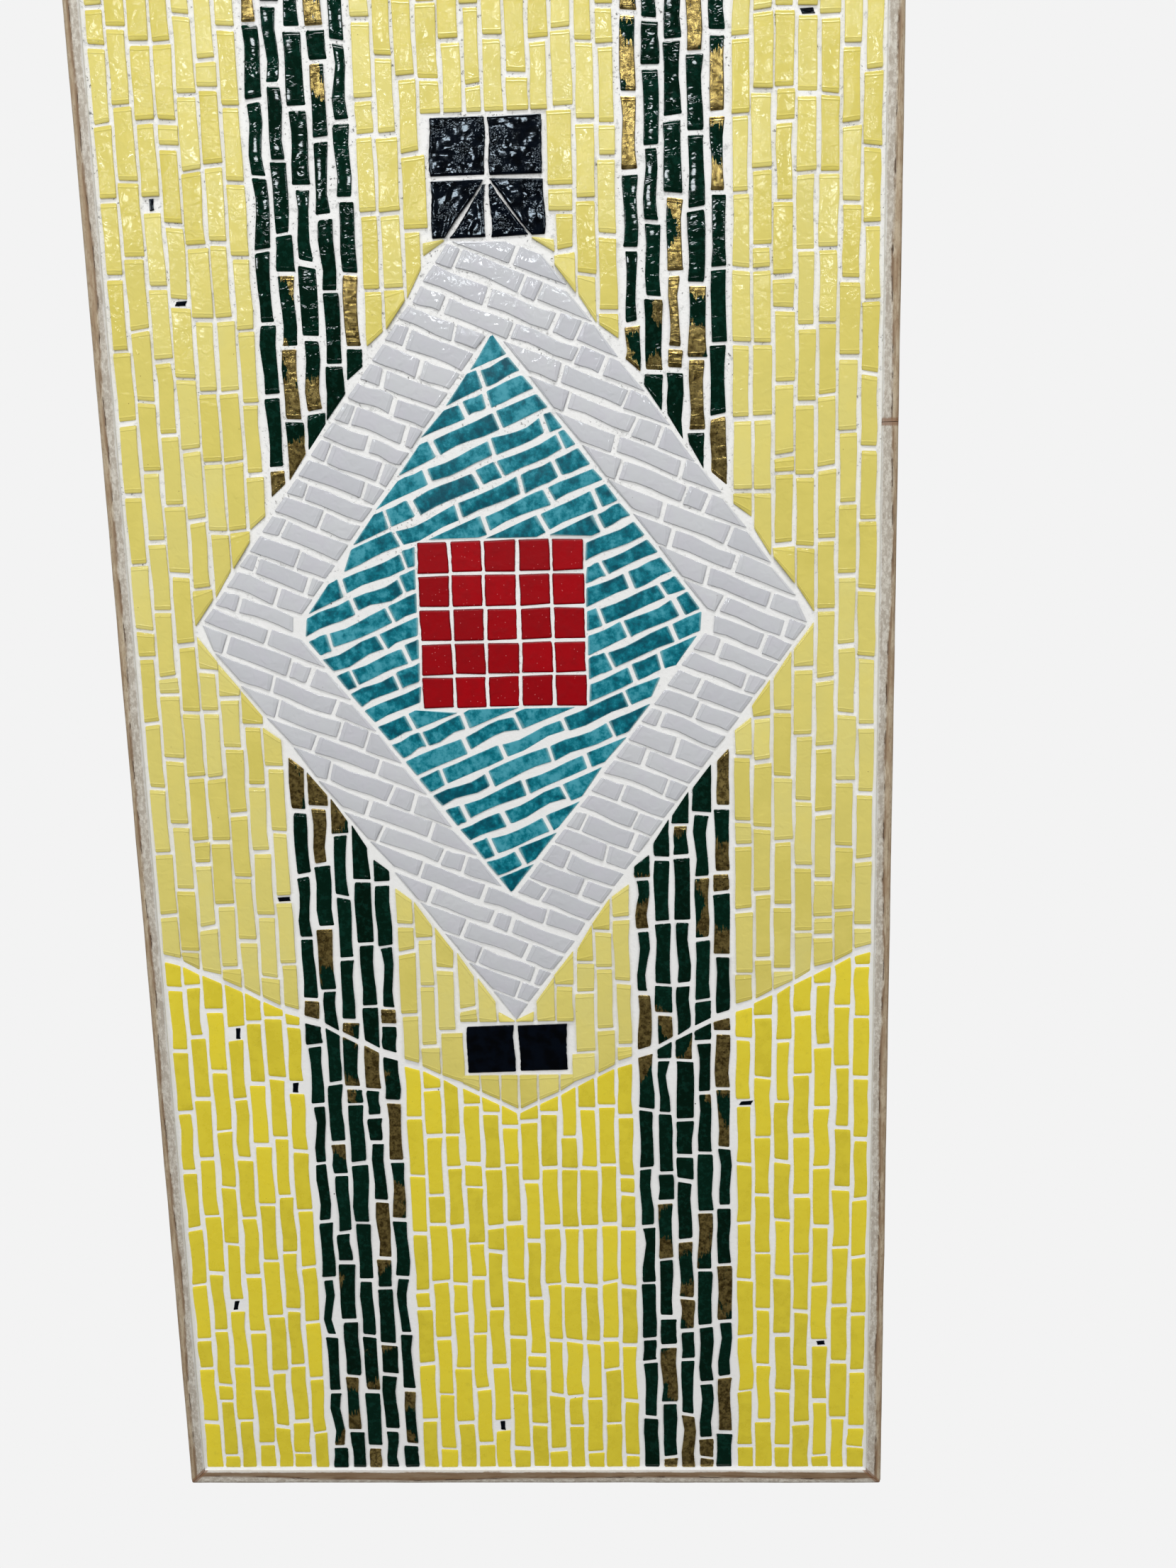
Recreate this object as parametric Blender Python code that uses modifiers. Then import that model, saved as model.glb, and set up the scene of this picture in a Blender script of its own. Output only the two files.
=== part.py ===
"""A framed mosaic wall panel: glazed tesserae set in white grout on a plywood board, edged with wooden strips.

Metres, +Z up. The wall is the plane y = 0, and the picture faces -Y. The origin is the centre of the back.
Outlines are drawn as (across, up) pairs seen from the front, and depths are counted forward from the wall.
"""

import math

import bmesh
import bpy
from mathutils import Matrix, Vector

# The framed panel
PANEL_WIDTH = 0.457
PANEL_HEIGHT = 1.067
FRAME_FACE = 0.010
FRAME_PROUD = 0.0014
FRAME_OUTER_ROUND = 0.0026
FRAME_INNER_ROUND = 0.0012
ROUND_STEPS = 4
MITRE_GAP = 0.0003
STILE_SPLICE_HEIGHT = 0.138

# Layers, from the wall forward
BOARD_THICKNESS = 0.012
BOARD_CLEARANCE = 0.0003
SEAT_GAP = 0.0003
MORTAR_THICKNESS = 0.0015
TILE_THICKNESS = 0.0045
TILE_PROUD = 0.0008

# How the tesserae are laid
COURSES = 36
COURSE_JOINT = 0.0018
FIELD_JOINT = 0.003
SLANTED_PITCH = 0.0125
TEAL_SLANT = math.radians(22)
WHITE_SLANT = math.radians(-22)
RED_SQUARE = 0.0178
RED_JOINT = 0.0019
RED_COUNT = 5
BLACK_SQUARE = 0.030
BLACK_JOINT = 0.0022
CUT_LINE = 0.0016

# The picture: a bordered lozenge over two stripes, on a pale field above a deep one
STRIPE_INNER_COURSES = 6
STRIPE_OUTER_COURSES = 11
LOZENGE_HALF_COURSES = 15
LOZENGE_CENTRE = 0.030
LOZENGE_HALF_HEIGHT = 0.245
BORDER_WIDTH = 0.048
FOOT_TO_GROUND = 0.010
GROUND_SLOPE = 0.48

# Colours, as linear red, green and blue, with roughness
MATERIALS = {
    "limed_wood": ((0.45, 0.40, 0.32), 0.75),
    "plywood": ((0.42, 0.27, 0.14), 0.70),
    "white_grout": ((0.76, 0.76, 0.74), 0.90),
    "pale_yellow_glaze": ((0.72, 0.62, 0.19), 0.15),
    "deep_yellow_glaze": ((0.72, 0.57, 0.045), 0.22),
    "dark_green_glaze": ((0.003, 0.022, 0.012), 0.08),
    "teal_glaze": ((0.015, 0.21, 0.28), 0.20),
    "white_glaze": ((0.60, 0.61, 0.66), 0.12),
    "red_glaze": ((0.40, 0.006, 0.012), 0.35),
    "black_glaze": ((0.004, 0.004, 0.006), 0.08),
}

# Depths that follow from the layers
MORTAR_BACK = BOARD_THICKNESS + SEAT_GAP
POCKET_FLOOR = MORTAR_BACK + MORTAR_THICKNESS
TILE_BACK = POCKET_FLOOR + SEAT_GAP
TILE_FRONT = TILE_BACK + TILE_THICKNESS
GROUT_FRONT = TILE_FRONT - TILE_PROUD
FRAME_DEPTH = TILE_FRONT + FRAME_PROUD
CUTTER_OVERRUN = 0.002

# Places that follow from the picture
FIELD_HALF_WIDTH = PANEL_WIDTH / 2 - FRAME_FACE
FIELD_HALF_HEIGHT = PANEL_HEIGHT / 2 - FRAME_FACE
COURSE_PITCH = 2 * FIELD_HALF_WIDTH / COURSES
STRIPE_INNER = STRIPE_INNER_COURSES * COURSE_PITCH
STRIPE_OUTER = STRIPE_OUTER_COURSES * COURSE_PITCH
LOZENGE_HALF_WIDTH = LOZENGE_HALF_COURSES * COURSE_PITCH
LOZENGE_TOP = LOZENGE_CENTRE + LOZENGE_HALF_HEIGHT
LOZENGE_BOTTOM = LOZENGE_CENTRE - LOZENGE_HALF_HEIGHT
BLACK_PITCH = BLACK_SQUARE + BLACK_JOINT
CAP_TOP = LOZENGE_TOP + BLACK_PITCH
CAP_BOTTOM = LOZENGE_TOP - BLACK_PITCH
FOOT_BOTTOM = LOZENGE_BOTTOM - BLACK_PITCH
GROUND_CENTRE = FOOT_BOTTOM - FOOT_TO_GROUND - GROUND_SLOPE * BLACK_PITCH
RED_PITCH = RED_SQUARE + RED_JOINT
RED_HALF = RED_COUNT * RED_PITCH / 2

EDGE_LEAN = math.atan2(LOZENGE_HALF_HEIGHT, LOZENGE_HALF_WIDTH)
INNER_HALF_WIDTH = LOZENGE_HALF_WIDTH - BORDER_WIDTH / math.sin(EDGE_LEAN)
INNER_HALF_HEIGHT = LOZENGE_HALF_HEIGHT - BORDER_WIDTH / math.cos(EDGE_LEAN)


def edge_above(across):
    """The lozenge's upper edge, at a distance from its middle line."""
    return LOZENGE_CENTRE + LOZENGE_HALF_HEIGHT * (1 - abs(across) / LOZENGE_HALF_WIDTH)


def edge_below(across):
    """The lozenge's lower edge."""
    return 2 * LOZENGE_CENTRE - edge_above(across)


def ground(across):
    """The line where the deep yellow begins, a shallow V."""
    return GROUND_CENTRE + GROUND_SLOPE * abs(across)


def mirrored(outline):
    """The same outline on the left, still counter-clockwise."""
    return [(-across, up) for across, up in reversed(outline)]


def inset(outline, distance):
    """Moves each side of a counter-clockwise outline inwards, or outwards where distance is negative."""
    corners = [Vector(corner) for corner in outline]
    moved = []
    for number, corner in enumerate(corners):
        before = (corner - corners[number - 1]).normalized()
        after = (corners[(number + 1) % len(corners)] - corner).normalized()
        inward_before = Vector((-before.y, before.x))
        inward_after = Vector((-after.y, after.x))
        spread = 1 + inward_before.dot(inward_after)
        moved.append(corner + (inward_before + inward_after) * (distance / spread))
    return moved


def rectangle(left, bottom, right, top):
    return [(left, bottom), (right, bottom), (right, top), (left, top)]


def square(centre_across, centre_up, side):
    half = side / 2
    return rectangle(centre_across - half, centre_up - half, centre_across + half, centre_up + half)


def clipped(outline, point, direction, clearance):
    """What is left of an outline on the left of a line, at least clearance from it."""
    start = Vector(point)
    normal = Vector((-direction[1], direction[0])).normalized()
    kept = []
    corners = [Vector(corner) for corner in outline]
    for number, corner in enumerate(corners):
        previous = corners[number - 1]
        height = (corner - start).dot(normal) - clearance
        previous_height = (previous - start).dot(normal) - clearance
        if height * previous_height < 0:
            share = previous_height / (previous_height - height)
            kept.append(previous.lerp(corner, share))
        if height >= 0:
            kept.append(corner)
    return kept


def arc(centre, radius, start_angle, end_angle):
    """Points along an arc, from one angle to the other, both in degrees."""
    points = []
    for step in range(ROUND_STEPS + 1):
        angle = math.radians(start_angle + (end_angle - start_angle) * step / ROUND_STEPS)
        points.append((centre[0] + radius * math.cos(angle), centre[1] + radius * math.sin(angle)))
    return points


def new_collection(name):
    collection = bpy.data.collections.new(name)
    bpy.context.scene.collection.children.link(collection)
    return collection


def finish_of(name):
    """One Principled material for each finish."""
    if name in bpy.data.materials:
        return bpy.data.materials[name]
    colour, roughness = MATERIALS[name]
    material = bpy.data.materials.new(name)
    material.use_nodes = True
    shader = material.node_tree.nodes["Principled BSDF"]
    shader.inputs["Base Color"].default_value = (*colour, 1.0)
    shader.inputs["Roughness"].default_value = roughness
    shader.inputs["Metallic"].default_value = 0.0
    return material


def prism(name, outlines, thickness, place, collection):
    """A flat outline, with any holes after it, extruded to both sides of its plane and made a mesh."""
    curve = bpy.data.curves.new(name, "CURVE")
    curve.dimensions = "2D"
    curve.fill_mode = "BOTH"
    curve.extrude = thickness / 2
    for outline in outlines:
        spline = curve.splines.new("POLY")
        spline.points.add(len(outline) - 1)
        for point, (across, up) in zip(spline.points, outline):
            point.co = (across, up, 0, 1)
        spline.use_cyclic_u = True
    drawn = bpy.data.objects.new(name + "_outline", curve)
    bpy.context.scene.collection.objects.link(drawn)
    drawn.matrix_world = place
    bpy.context.view_layer.update()
    mesh = bpy.data.meshes.new_from_object(drawn.evaluated_get(bpy.context.evaluated_depsgraph_get()))
    mesh.name = name
    shape = bmesh.new()
    shape.from_mesh(mesh)
    bmesh.ops.remove_doubles(shape, verts=shape.verts, dist=1e-6)
    bmesh.ops.recalc_face_normals(shape, faces=shape.faces)
    shape.to_mesh(mesh)
    shape.free()
    solid = bpy.data.objects.new(name, mesh)
    solid.matrix_world = place
    collection.objects.link(solid)
    bpy.data.objects.remove(drawn)
    bpy.data.curves.remove(curve)
    return solid


def plate(name, outlines, back, front, collection):
    """A prism that stands upright, between two depths from the wall."""
    upright = Matrix.Rotation(math.pi / 2, 4, "X")
    place = Matrix.Translation((0, -(back + front) / 2, 0)) @ upright
    return prism(name, outlines, front - back, place, collection)


def cut_with(solid, cutter):
    modifier = solid.modifiers.new("cut", "BOOLEAN")
    modifier.operation = "DIFFERENCE"
    modifier.solver = "EXACT"
    modifier.object = cutter


def hide_cutter(cutter):
    cutter.hide_render = True
    cutter.display_type = "WIRE"


def joint_cutter(name, pitch, slant, span, reach, height, collection):
    """Thin bars over a span, one for each joint between courses, turned by slant about a given height."""
    joints = 2 * int(span / 2 / pitch) + 1
    depth = TILE_PROUD + CUTTER_OVERRUN
    bpy.ops.mesh.primitive_cube_add(size=1)
    bar = bpy.context.object
    bar.name = name
    bar.data.transform(Matrix.Diagonal((COURSE_JOINT, depth, reach, 1)))
    bar.data.transform(Matrix.Translation((-pitch * (joints - 1) / 2, 0, 0)))
    repeat = bar.modifiers.new("joints", "ARRAY")
    repeat.count = joints
    repeat.use_relative_offset = False
    repeat.use_constant_offset = True
    repeat.constant_offset_displace = (pitch, 0, 0)
    bar.rotation_euler = (0, slant, 0)
    bar.location = (0, -(GROUT_FRONT + depth / 2), height)
    for owner in list(bar.users_collection):
        owner.objects.unlink(bar)
    collection.objects.link(bar)
    hide_cutter(bar)
    return bar


def right_hand_fields():
    """Outlines of the areas on the right of the middle line, before their joints are taken off."""
    inner, outer = STRIPE_INNER, STRIPE_OUTER
    side, top = FIELD_HALF_WIDTH, FIELD_HALF_HEIGHT
    return {
        "pale_yellow_tesserae": (
            "pale_yellow_glaze",
            [
                (outer, ground(outer)),
                (side, ground(side)),
                (side, top),
                (outer, top),
                (outer, edge_above(outer)),
                (LOZENGE_HALF_WIDTH, LOZENGE_CENTRE),
                (outer, edge_below(outer)),
            ],
        ),
        "deep_yellow_tesserae": (
            "deep_yellow_glaze",
            [(outer, -top), (side, -top), (side, ground(side)), (outer, ground(outer))],
        ),
        "green_stripe_upper": (
            "dark_green_glaze",
            [(inner, edge_above(inner)), (outer, edge_above(outer)), (outer, top), (inner, top)],
        ),
        "green_stripe_middle": (
            "dark_green_glaze",
            [
                (inner, ground(inner)),
                (outer, ground(outer)),
                (outer, edge_below(outer)),
                (inner, edge_below(inner)),
            ],
        ),
        "green_stripe_lower": (
            "dark_green_glaze",
            [(inner, -top), (outer, -top), (outer, ground(outer)), (inner, ground(inner))],
        ),
    }


def middle_fields():
    """Outlines of the yellow areas that cross the middle line."""
    inner, top = STRIPE_INNER, FIELD_HALF_HEIGHT
    cap_corner = LOZENGE_HALF_WIDTH * (LOZENGE_TOP - CAP_BOTTOM) / LOZENGE_HALF_HEIGHT
    upper = [
        (inner, edge_above(inner)),
        (inner, top),
        (-inner, top),
        (-inner, edge_above(inner)),
        (-cap_corner, CAP_BOTTOM),
        (-BLACK_PITCH, CAP_BOTTOM),
        (-BLACK_PITCH, CAP_TOP),
        (BLACK_PITCH, CAP_TOP),
        (BLACK_PITCH, CAP_BOTTOM),
        (cap_corner, CAP_BOTTOM),
    ]
    lower = [
        (-inner, ground(inner)),
        (0, ground(0)),
        (inner, ground(inner)),
        (inner, edge_below(inner)),
        (0, LOZENGE_BOTTOM),
        (BLACK_PITCH, LOZENGE_BOTTOM),
        (BLACK_PITCH, FOOT_BOTTOM),
        (-BLACK_PITCH, FOOT_BOTTOM),
        (-BLACK_PITCH, LOZENGE_BOTTOM),
        (0, LOZENGE_BOTTOM),
        (-inner, edge_below(inner)),
    ]
    deep = [(-inner, -top), (inner, -top), (inner, ground(inner)), (0, ground(0)), (-inner, ground(inner))]
    border = [
        (LOZENGE_HALF_WIDTH, LOZENGE_CENTRE),
        (cap_corner, CAP_BOTTOM),
        (-cap_corner, CAP_BOTTOM),
        (-LOZENGE_HALF_WIDTH, LOZENGE_CENTRE),
        (0, LOZENGE_BOTTOM),
    ]
    return {
        "pale_yellow_tesserae_middle_upper": ("pale_yellow_glaze", upper),
        "pale_yellow_tesserae_middle_lower": ("pale_yellow_glaze", lower),
        "deep_yellow_tesserae_middle": ("deep_yellow_glaze", deep),
        "white_lozenge_border": ("white_glaze", border),
    }


def inner_lozenge():
    return [
        (INNER_HALF_WIDTH, LOZENGE_CENTRE),
        (0, LOZENGE_CENTRE + INNER_HALF_HEIGHT),
        (-INNER_HALF_WIDTH, LOZENGE_CENTRE),
        (0, LOZENGE_CENTRE - INNER_HALF_HEIGHT),
    ]


def course_fields():
    """Every area laid in courses, as name: (finish, [outline, holes...]), with half a joint taken off all round."""
    half_joint = FIELD_JOINT / 2
    fields = {}
    for name, (finish, outline) in right_hand_fields().items():
        fields[name + "_right"] = (finish, [inset(outline, half_joint)])
        fields[name + "_left"] = (finish, [inset(mirrored(outline), half_joint)])
    for name, (finish, outline) in middle_fields().items():
        fields[name] = (finish, [inset(outline, half_joint)])
    fields["white_lozenge_border"][1].append(inset(inner_lozenge(), -half_joint))
    red_block = square(0, LOZENGE_CENTRE, 2 * RED_HALF)
    teal = [inset(inner_lozenge(), half_joint), inset(red_block, RED_JOINT / 2 - half_joint)]
    fields["teal_lozenge"] = ("teal_glaze", teal)
    return fields


def red_squares():
    """The square block of red tesserae in the middle of the lozenge."""
    squares = {}
    for row in range(RED_COUNT):
        for column in range(RED_COUNT):
            across = (column + 0.5) * RED_PITCH - RED_HALF
            up = LOZENGE_CENTRE + RED_HALF - (row + 0.5) * RED_PITCH
            name = f"red_square_{row + 1}_{column + 1}"
            squares[name] = ("red_glaze", [square(across, up, RED_SQUARE)])
    return squares


def black_squares():
    """Four squares over the lozenge's top point, which is cut through the lower two, and two under its foot."""
    squares = {}
    lean = Vector((LOZENGE_HALF_WIDTH, -LOZENGE_HALF_HEIGHT))
    tip = (0, LOZENGE_TOP)
    for side, hand in ((1, "right"), (-1, "left")):
        across = side * BLACK_PITCH / 2
        above = square(across, LOZENGE_TOP + BLACK_PITCH / 2, BLACK_SQUARE)
        below = square(BLACK_PITCH / 2, LOZENGE_TOP - BLACK_PITCH / 2, BLACK_SQUARE)
        foot = square(across, LOZENGE_BOTTOM - BLACK_PITCH / 2, BLACK_SQUARE)
        outside = clipped(below, tip, lean, CUT_LINE / 2)
        inside = clipped(below, tip, -lean, CUT_LINE / 2)
        if side < 0:
            outside, inside = mirrored(outside), mirrored(inside)
        squares[f"black_square_cap_{hand}"] = ("black_glaze", [above])
        squares[f"black_piece_outside_tip_{hand}"] = ("black_glaze", [outside])
        squares[f"black_piece_inside_tip_{hand}"] = ("black_glaze", [inside])
        squares[f"black_square_foot_{hand}"] = ("black_glaze", [foot])
    return squares


def strip_profile():
    """A frame strip cut across: inward from its outer side, and forward from the wall."""
    outer = arc((FRAME_OUTER_ROUND, FRAME_DEPTH - FRAME_OUTER_ROUND), FRAME_OUTER_ROUND, 180, 90)
    inner_centre = (FRAME_FACE - FRAME_INNER_ROUND, FRAME_DEPTH - FRAME_INNER_ROUND)
    inner = arc(inner_centre, FRAME_INNER_ROUND, 90, 0)
    return [(FRAME_FACE, 0), (0, 0)] + outer + inner


def mitre(strip, end, length):
    """Cuts one end of a strip at 45 degrees, so that its inner side is the shorter one."""
    half = length / 2
    plane_point = Vector((0, 0, end * (half - MITRE_GAP / 2)))
    plane_normal = Vector((1, 0, end)).normalized()
    shape = bmesh.new()
    shape.from_mesh(strip.data)
    everything = shape.verts[:] + shape.edges[:] + shape.faces[:]
    cut = bmesh.ops.bisect_plane(
        shape, geom=everything, plane_co=plane_point, plane_no=plane_normal, dist=1e-7, clear_outer=True
    )
    rim = [item for item in cut["geom_cut"] if isinstance(item, bmesh.types.BMEdge)]
    bmesh.ops.contextual_create(shape, geom=rim)
    bmesh.ops.recalc_face_normals(shape, faces=shape.faces)
    shape.to_mesh(strip.data)
    shape.free()


def frame_strip(name, start, end, inward, mitred, collection):
    """A wooden strip whose outer edge runs between two corners, given as (across, up)."""
    first, last = Vector((start[0], 0, start[1])), Vector((end[0], 0, end[1]))
    toward_middle = Vector((inward[0], 0, inward[1]))
    forward = Vector((0, -1, 0))
    along = toward_middle.cross(forward)
    length = (last - first).length
    place = Matrix.Translation((first + last) / 2) @ Matrix((toward_middle, forward, along)).transposed().to_4x4()
    strip = prism(name, [strip_profile()], length, place, collection)
    for side in (-1, 1):
        if mitred[side]:
            mitre(strip, side, length)
    strip.data.materials.append(finish_of("limed_wood"))
    return strip


def build_frame(parts):
    """Four sides, mitred at the corners. The right one is spliced from two lengths with a butt joint."""
    x, z, splice, gap = PANEL_WIDTH / 2, PANEL_HEIGHT / 2, STILE_SPLICE_HEIGHT, MITRE_GAP / 2
    both = {-1: True, 1: True}
    frame_strip("frame_left", (-x, z), (-x, -z), (1, 0), both, parts)
    frame_strip("frame_bottom", (-x, -z), (x, -z), (0, 1), both, parts)
    frame_strip("frame_top", (x, z), (-x, z), (0, -1), both, parts)
    frame_strip("frame_right_lower", (x, -z), (x, splice - gap), (-1, 0), {-1: True, 1: False}, parts)
    frame_strip("frame_right_upper", (x, splice + gap), (x, z), (-1, 0), {-1: False, 1: True}, parts)


def build_board(parts):
    outline = rectangle(-FIELD_HALF_WIDTH, -FIELD_HALF_HEIGHT, FIELD_HALF_WIDTH, FIELD_HALF_HEIGHT)
    board = plate("backing_board", [inset(outline, BOARD_CLEARANCE)], 0, BOARD_THICKNESS, parts)
    board.data.materials.append(finish_of("plywood"))


def build_tesserae(parts, cutters):
    """The coloured areas, with a groove at each joint between courses, and the squares one by one."""
    upright = joint_cutter("upright_joints", COURSE_PITCH, 0, PANEL_WIDTH, PANEL_HEIGHT, 0, cutters)
    reach = 2 * max(LOZENGE_HALF_WIDTH, LOZENGE_HALF_HEIGHT) + CUTTER_OVERRUN
    slanted = {}
    for name, slope in (("teal_lozenge", TEAL_SLANT), ("white_lozenge_border", WHITE_SLANT)):
        slant = math.pi / 2 - slope
        slanted[name] = joint_cutter(
            name + "_joints", SLANTED_PITCH, slant, reach, reach, LOZENGE_CENTRE, cutters
        )
    coursed = course_fields()
    laid = {**coursed, **red_squares(), **black_squares()}
    for name, (finish, outlines) in laid.items():
        solid = plate(name, outlines, TILE_BACK, TILE_FRONT, parts)
        solid.data.materials.append(finish_of(finish))
        if name in coursed:
            cut_with(solid, slanted.get(name, upright))
    return laid


def build_grout(laid, parts, cutters):
    """The mortar and the grout as one slab, with a pocket for each piece that is set in it."""
    outline = rectangle(-FIELD_HALF_WIDTH, -FIELD_HALF_HEIGHT, FIELD_HALF_WIDTH, FIELD_HALF_HEIGHT)
    grout = plate("grout_bed", [inset(outline, BOARD_CLEARANCE)], MORTAR_BACK, GROUT_FRONT, parts)
    grout.data.materials.append(finish_of("white_grout"))
    pockets = bpy.data.collections.new("pockets")
    cutters.children.link(pockets)
    for name, (_, outlines) in laid.items():
        outer, holes = outlines[0], outlines[1:]
        widened = [inset(outer, -SEAT_GAP)] + [inset(hole, SEAT_GAP) for hole in holes]
        pocket = plate("pocket_" + name, widened, POCKET_FLOOR, GROUT_FRONT + CUTTER_OVERRUN, pockets)
        hide_cutter(pocket)
    modifier = grout.modifiers.new("pockets", "BOOLEAN")
    modifier.operation = "DIFFERENCE"
    modifier.solver = "EXACT"
    modifier.operand_type = "COLLECTION"
    modifier.collection = pockets


def main():
    for existing in list(bpy.data.objects):
        bpy.data.objects.remove(existing)
    parts = new_collection("mosaic_panel")
    cutters = new_collection("cutters")
    build_board(parts)
    build_frame(parts)
    laid = build_tesserae(parts, cutters)
    build_grout(laid, parts, cutters)


main()
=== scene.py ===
"""The looks of a framed mosaic panel: hand-nipped glazed tiles in rough white grout, edged with limed wood.

Each tile is laid in Python as four corners and a few habits of the hand, and a Geometry Nodes tree makes
its body. Lengths are in metres, +Z is up and the picture faces -Y. A flat place on the panel is a vector of
(across, up), and a depth is measured forward from the wall.
"""

import math
import random

import bmesh
import bpy
from mathutils import Matrix, Vector


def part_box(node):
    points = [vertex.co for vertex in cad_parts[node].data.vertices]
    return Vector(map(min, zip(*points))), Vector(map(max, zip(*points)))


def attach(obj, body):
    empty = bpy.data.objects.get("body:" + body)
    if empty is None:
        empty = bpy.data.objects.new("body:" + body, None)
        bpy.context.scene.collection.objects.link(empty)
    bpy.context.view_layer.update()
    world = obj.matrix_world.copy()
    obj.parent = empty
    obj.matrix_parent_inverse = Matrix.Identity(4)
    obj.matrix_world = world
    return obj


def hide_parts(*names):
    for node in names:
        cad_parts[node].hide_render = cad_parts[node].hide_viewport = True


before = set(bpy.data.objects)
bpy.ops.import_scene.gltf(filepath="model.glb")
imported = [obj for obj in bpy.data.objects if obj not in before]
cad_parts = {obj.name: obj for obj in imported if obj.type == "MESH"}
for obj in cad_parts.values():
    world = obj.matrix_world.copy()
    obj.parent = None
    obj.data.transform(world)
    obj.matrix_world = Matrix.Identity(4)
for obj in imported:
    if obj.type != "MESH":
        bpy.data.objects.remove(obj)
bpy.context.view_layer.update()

# The panel, read from the solids
FIELD_LOW, FIELD_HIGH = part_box("grout_bed")
GROUT_FACE_DEPTH = -FIELD_LOW.y
GROUT_BACK_DEPTH = -FIELD_HIGH.y
LOZENGE_LOW, LOZENGE_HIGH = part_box("teal_lozenge")
TILE_FACE_DEPTH = -LOZENGE_LOW.y
STILE_LOW, STILE_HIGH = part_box("frame_left")
FIELD_RIGHT = -STILE_HIGH.x
FIELD_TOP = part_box("frame_top")[0].z

# How the tiles are laid
COURSES = 36
COURSE_PITCH = 2 * FIELD_RIGHT / COURSES
SLANTED_PITCH = 0.0125
TEAL_SLANT = math.radians(22)
WHITE_SLANT = math.radians(-22)
STOCK_TILE = 0.0381
LONGEST_STRIP = STOCK_TILE + 0.0005
END_JOINT = 0.0025
SHORTEST_TILE = 0.0035
LENGTH_TO_SPARE = 0.002
NARROWEST_TILE = 0.003
NARROWEST_GAP_FOR_A_COURSE = 0.0045
STRAIGHT_LENGTH_FOR_A_SPLINTER = 0.03
FULL_BEND_LENGTH = 0.03
TILE_ROOT = 0.0016
LEVEL_SPREAD = 0.0001

# Every area's dice start from a number of their own
SEED = 7
TEAL_SEED, WHITE_SEED = SEED + 40, SEED + 41
RED_SEED, BLACK_SEED = SEED + 50, SEED + 51

# How tiles are nipped off the stock. A cut is a little off the full length, a course starts with a share of
# it that differs between even and odd courses, and an odd length has a share of it too. A joint's share is
# of the end joint
CUT_SLIP = (-0.0009, 0.0003)
FIRST_SHARES = (0.85, 0.35)
FIRST_SLIP = (-0.22, 0.15)
ODD_SHARES = (0.2, 0.6)
CUT_SLANT = 0.00035
JOINT_SHARES = (0.6, 1.25)

# The long joints between courses wander in three waves: a share of the wander each, and a length over a turn
JOINT_WAVES = ((0.45, 0.0093), (0.5, 0.021), (0.4, 0.047))

# Dark chips pressed into the joints, upright or lying: width and length, and the grout around them
UPRIGHT_SPLINTER = (0.0031, 0.0062)
LYING_SPLINTER = (0.0064, 0.0026)
SPLINTER_GAP = 0.0012

# A tile's grid: the share of it that lies in each border, and where the lines lie in a border
BORDER_SHARE = 0.3
END_STEPS = (0.0, 0.3, 1.0)
SIDE_STEPS = (0.0, 0.4, 1.0)

# The most of a small tile that one pressed end, or one side, may take
END_BORDER_LIMIT = 0.35
SIDE_BORDER_LIMIT = 0.3

# Edges that turn by more than this, in degrees, stay sharp
TILE_EDGE_ANGLE = 48
GROUT_EDGE_ANGLE = 60
WOOD_EDGE_ANGLE = 50


class Wire:
    """A socket of a node tree. Arithmetic on it adds the nodes that work it out."""

    def __init__(self, graph, socket):
        self.graph = graph
        self.socket = socket

    def _combined(self, operation, left, right):
        """Two numbers, two vectors, or a vector and the number that it is multiplied by."""
        vectors = [self.is_vector(side) for side in (left, right)]
        if not any(vectors):
            return self.graph.add("ShaderNodeMath", {"operation": operation}, {0: left, 1: right})
        if operation == "MULTIPLY" and not all(vectors):
            vector, number = (left, right) if vectors[0] else (right, left)
            return self.graph.add("ShaderNodeVectorMath", {"operation": "SCALE"}, {0: vector, 3: number})
        return self.graph.add("ShaderNodeVectorMath", {"operation": operation}, {0: left, 1: right})

    @staticmethod
    def is_vector(side):
        """Whether a wire, or a plain value, is a vector."""
        return side.socket.type == "VECTOR" if isinstance(side, Wire) else isinstance(side, tuple)

    def __add__(self, other):
        return self._combined("ADD", self, other)

    def __radd__(self, other):
        return self._combined("ADD", other, self)

    def __sub__(self, other):
        return self._combined("SUBTRACT", self, other)

    def __rsub__(self, other):
        return self._combined("SUBTRACT", other, self)

    def __mul__(self, other):
        return self._combined("MULTIPLY", self, other)

    def __rmul__(self, other):
        return self._combined("MULTIPLY", other, self)

    def __truediv__(self, other):
        return self._combined("DIVIDE", self, other)

    def __rtruediv__(self, other):
        return self._combined("DIVIDE", other, self)

    def __pow__(self, other):
        return self._combined("POWER", self, other)

    def smaller(self, other):
        return self._combined("MINIMUM", self, other)

    def larger(self, other):
        return self._combined("MAXIMUM", self, other)

    def away_from(self, place):
        """How far a number is from another."""
        return self.graph.add("ShaderNodeMath", {"operation": "ABSOLUTE"}, {0: self - place})

    def held(self, low=0.0, high=1.0):
        """Kept between two values."""
        return self.larger(low).smaller(high)

    def over(self, limit, softness):
        """0 below a limit and 1 above it, with a soft step between."""
        inputs = {0: self, 1: limit - softness / 2, 2: limit + softness / 2}
        return self.graph.add("ShaderNodeMapRange", {"interpolation_type": "SMOOTHSTEP"}, inputs)

    def part(self, axis):
        """One component of a vector."""
        return self.graph.add("ShaderNodeSeparateXYZ", {}, {0: self}, "XYZ"[axis])

    def sibling(self, output):
        """Another output of the same node."""
        return Wire(self.graph, self.socket.node.outputs[output])


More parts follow.
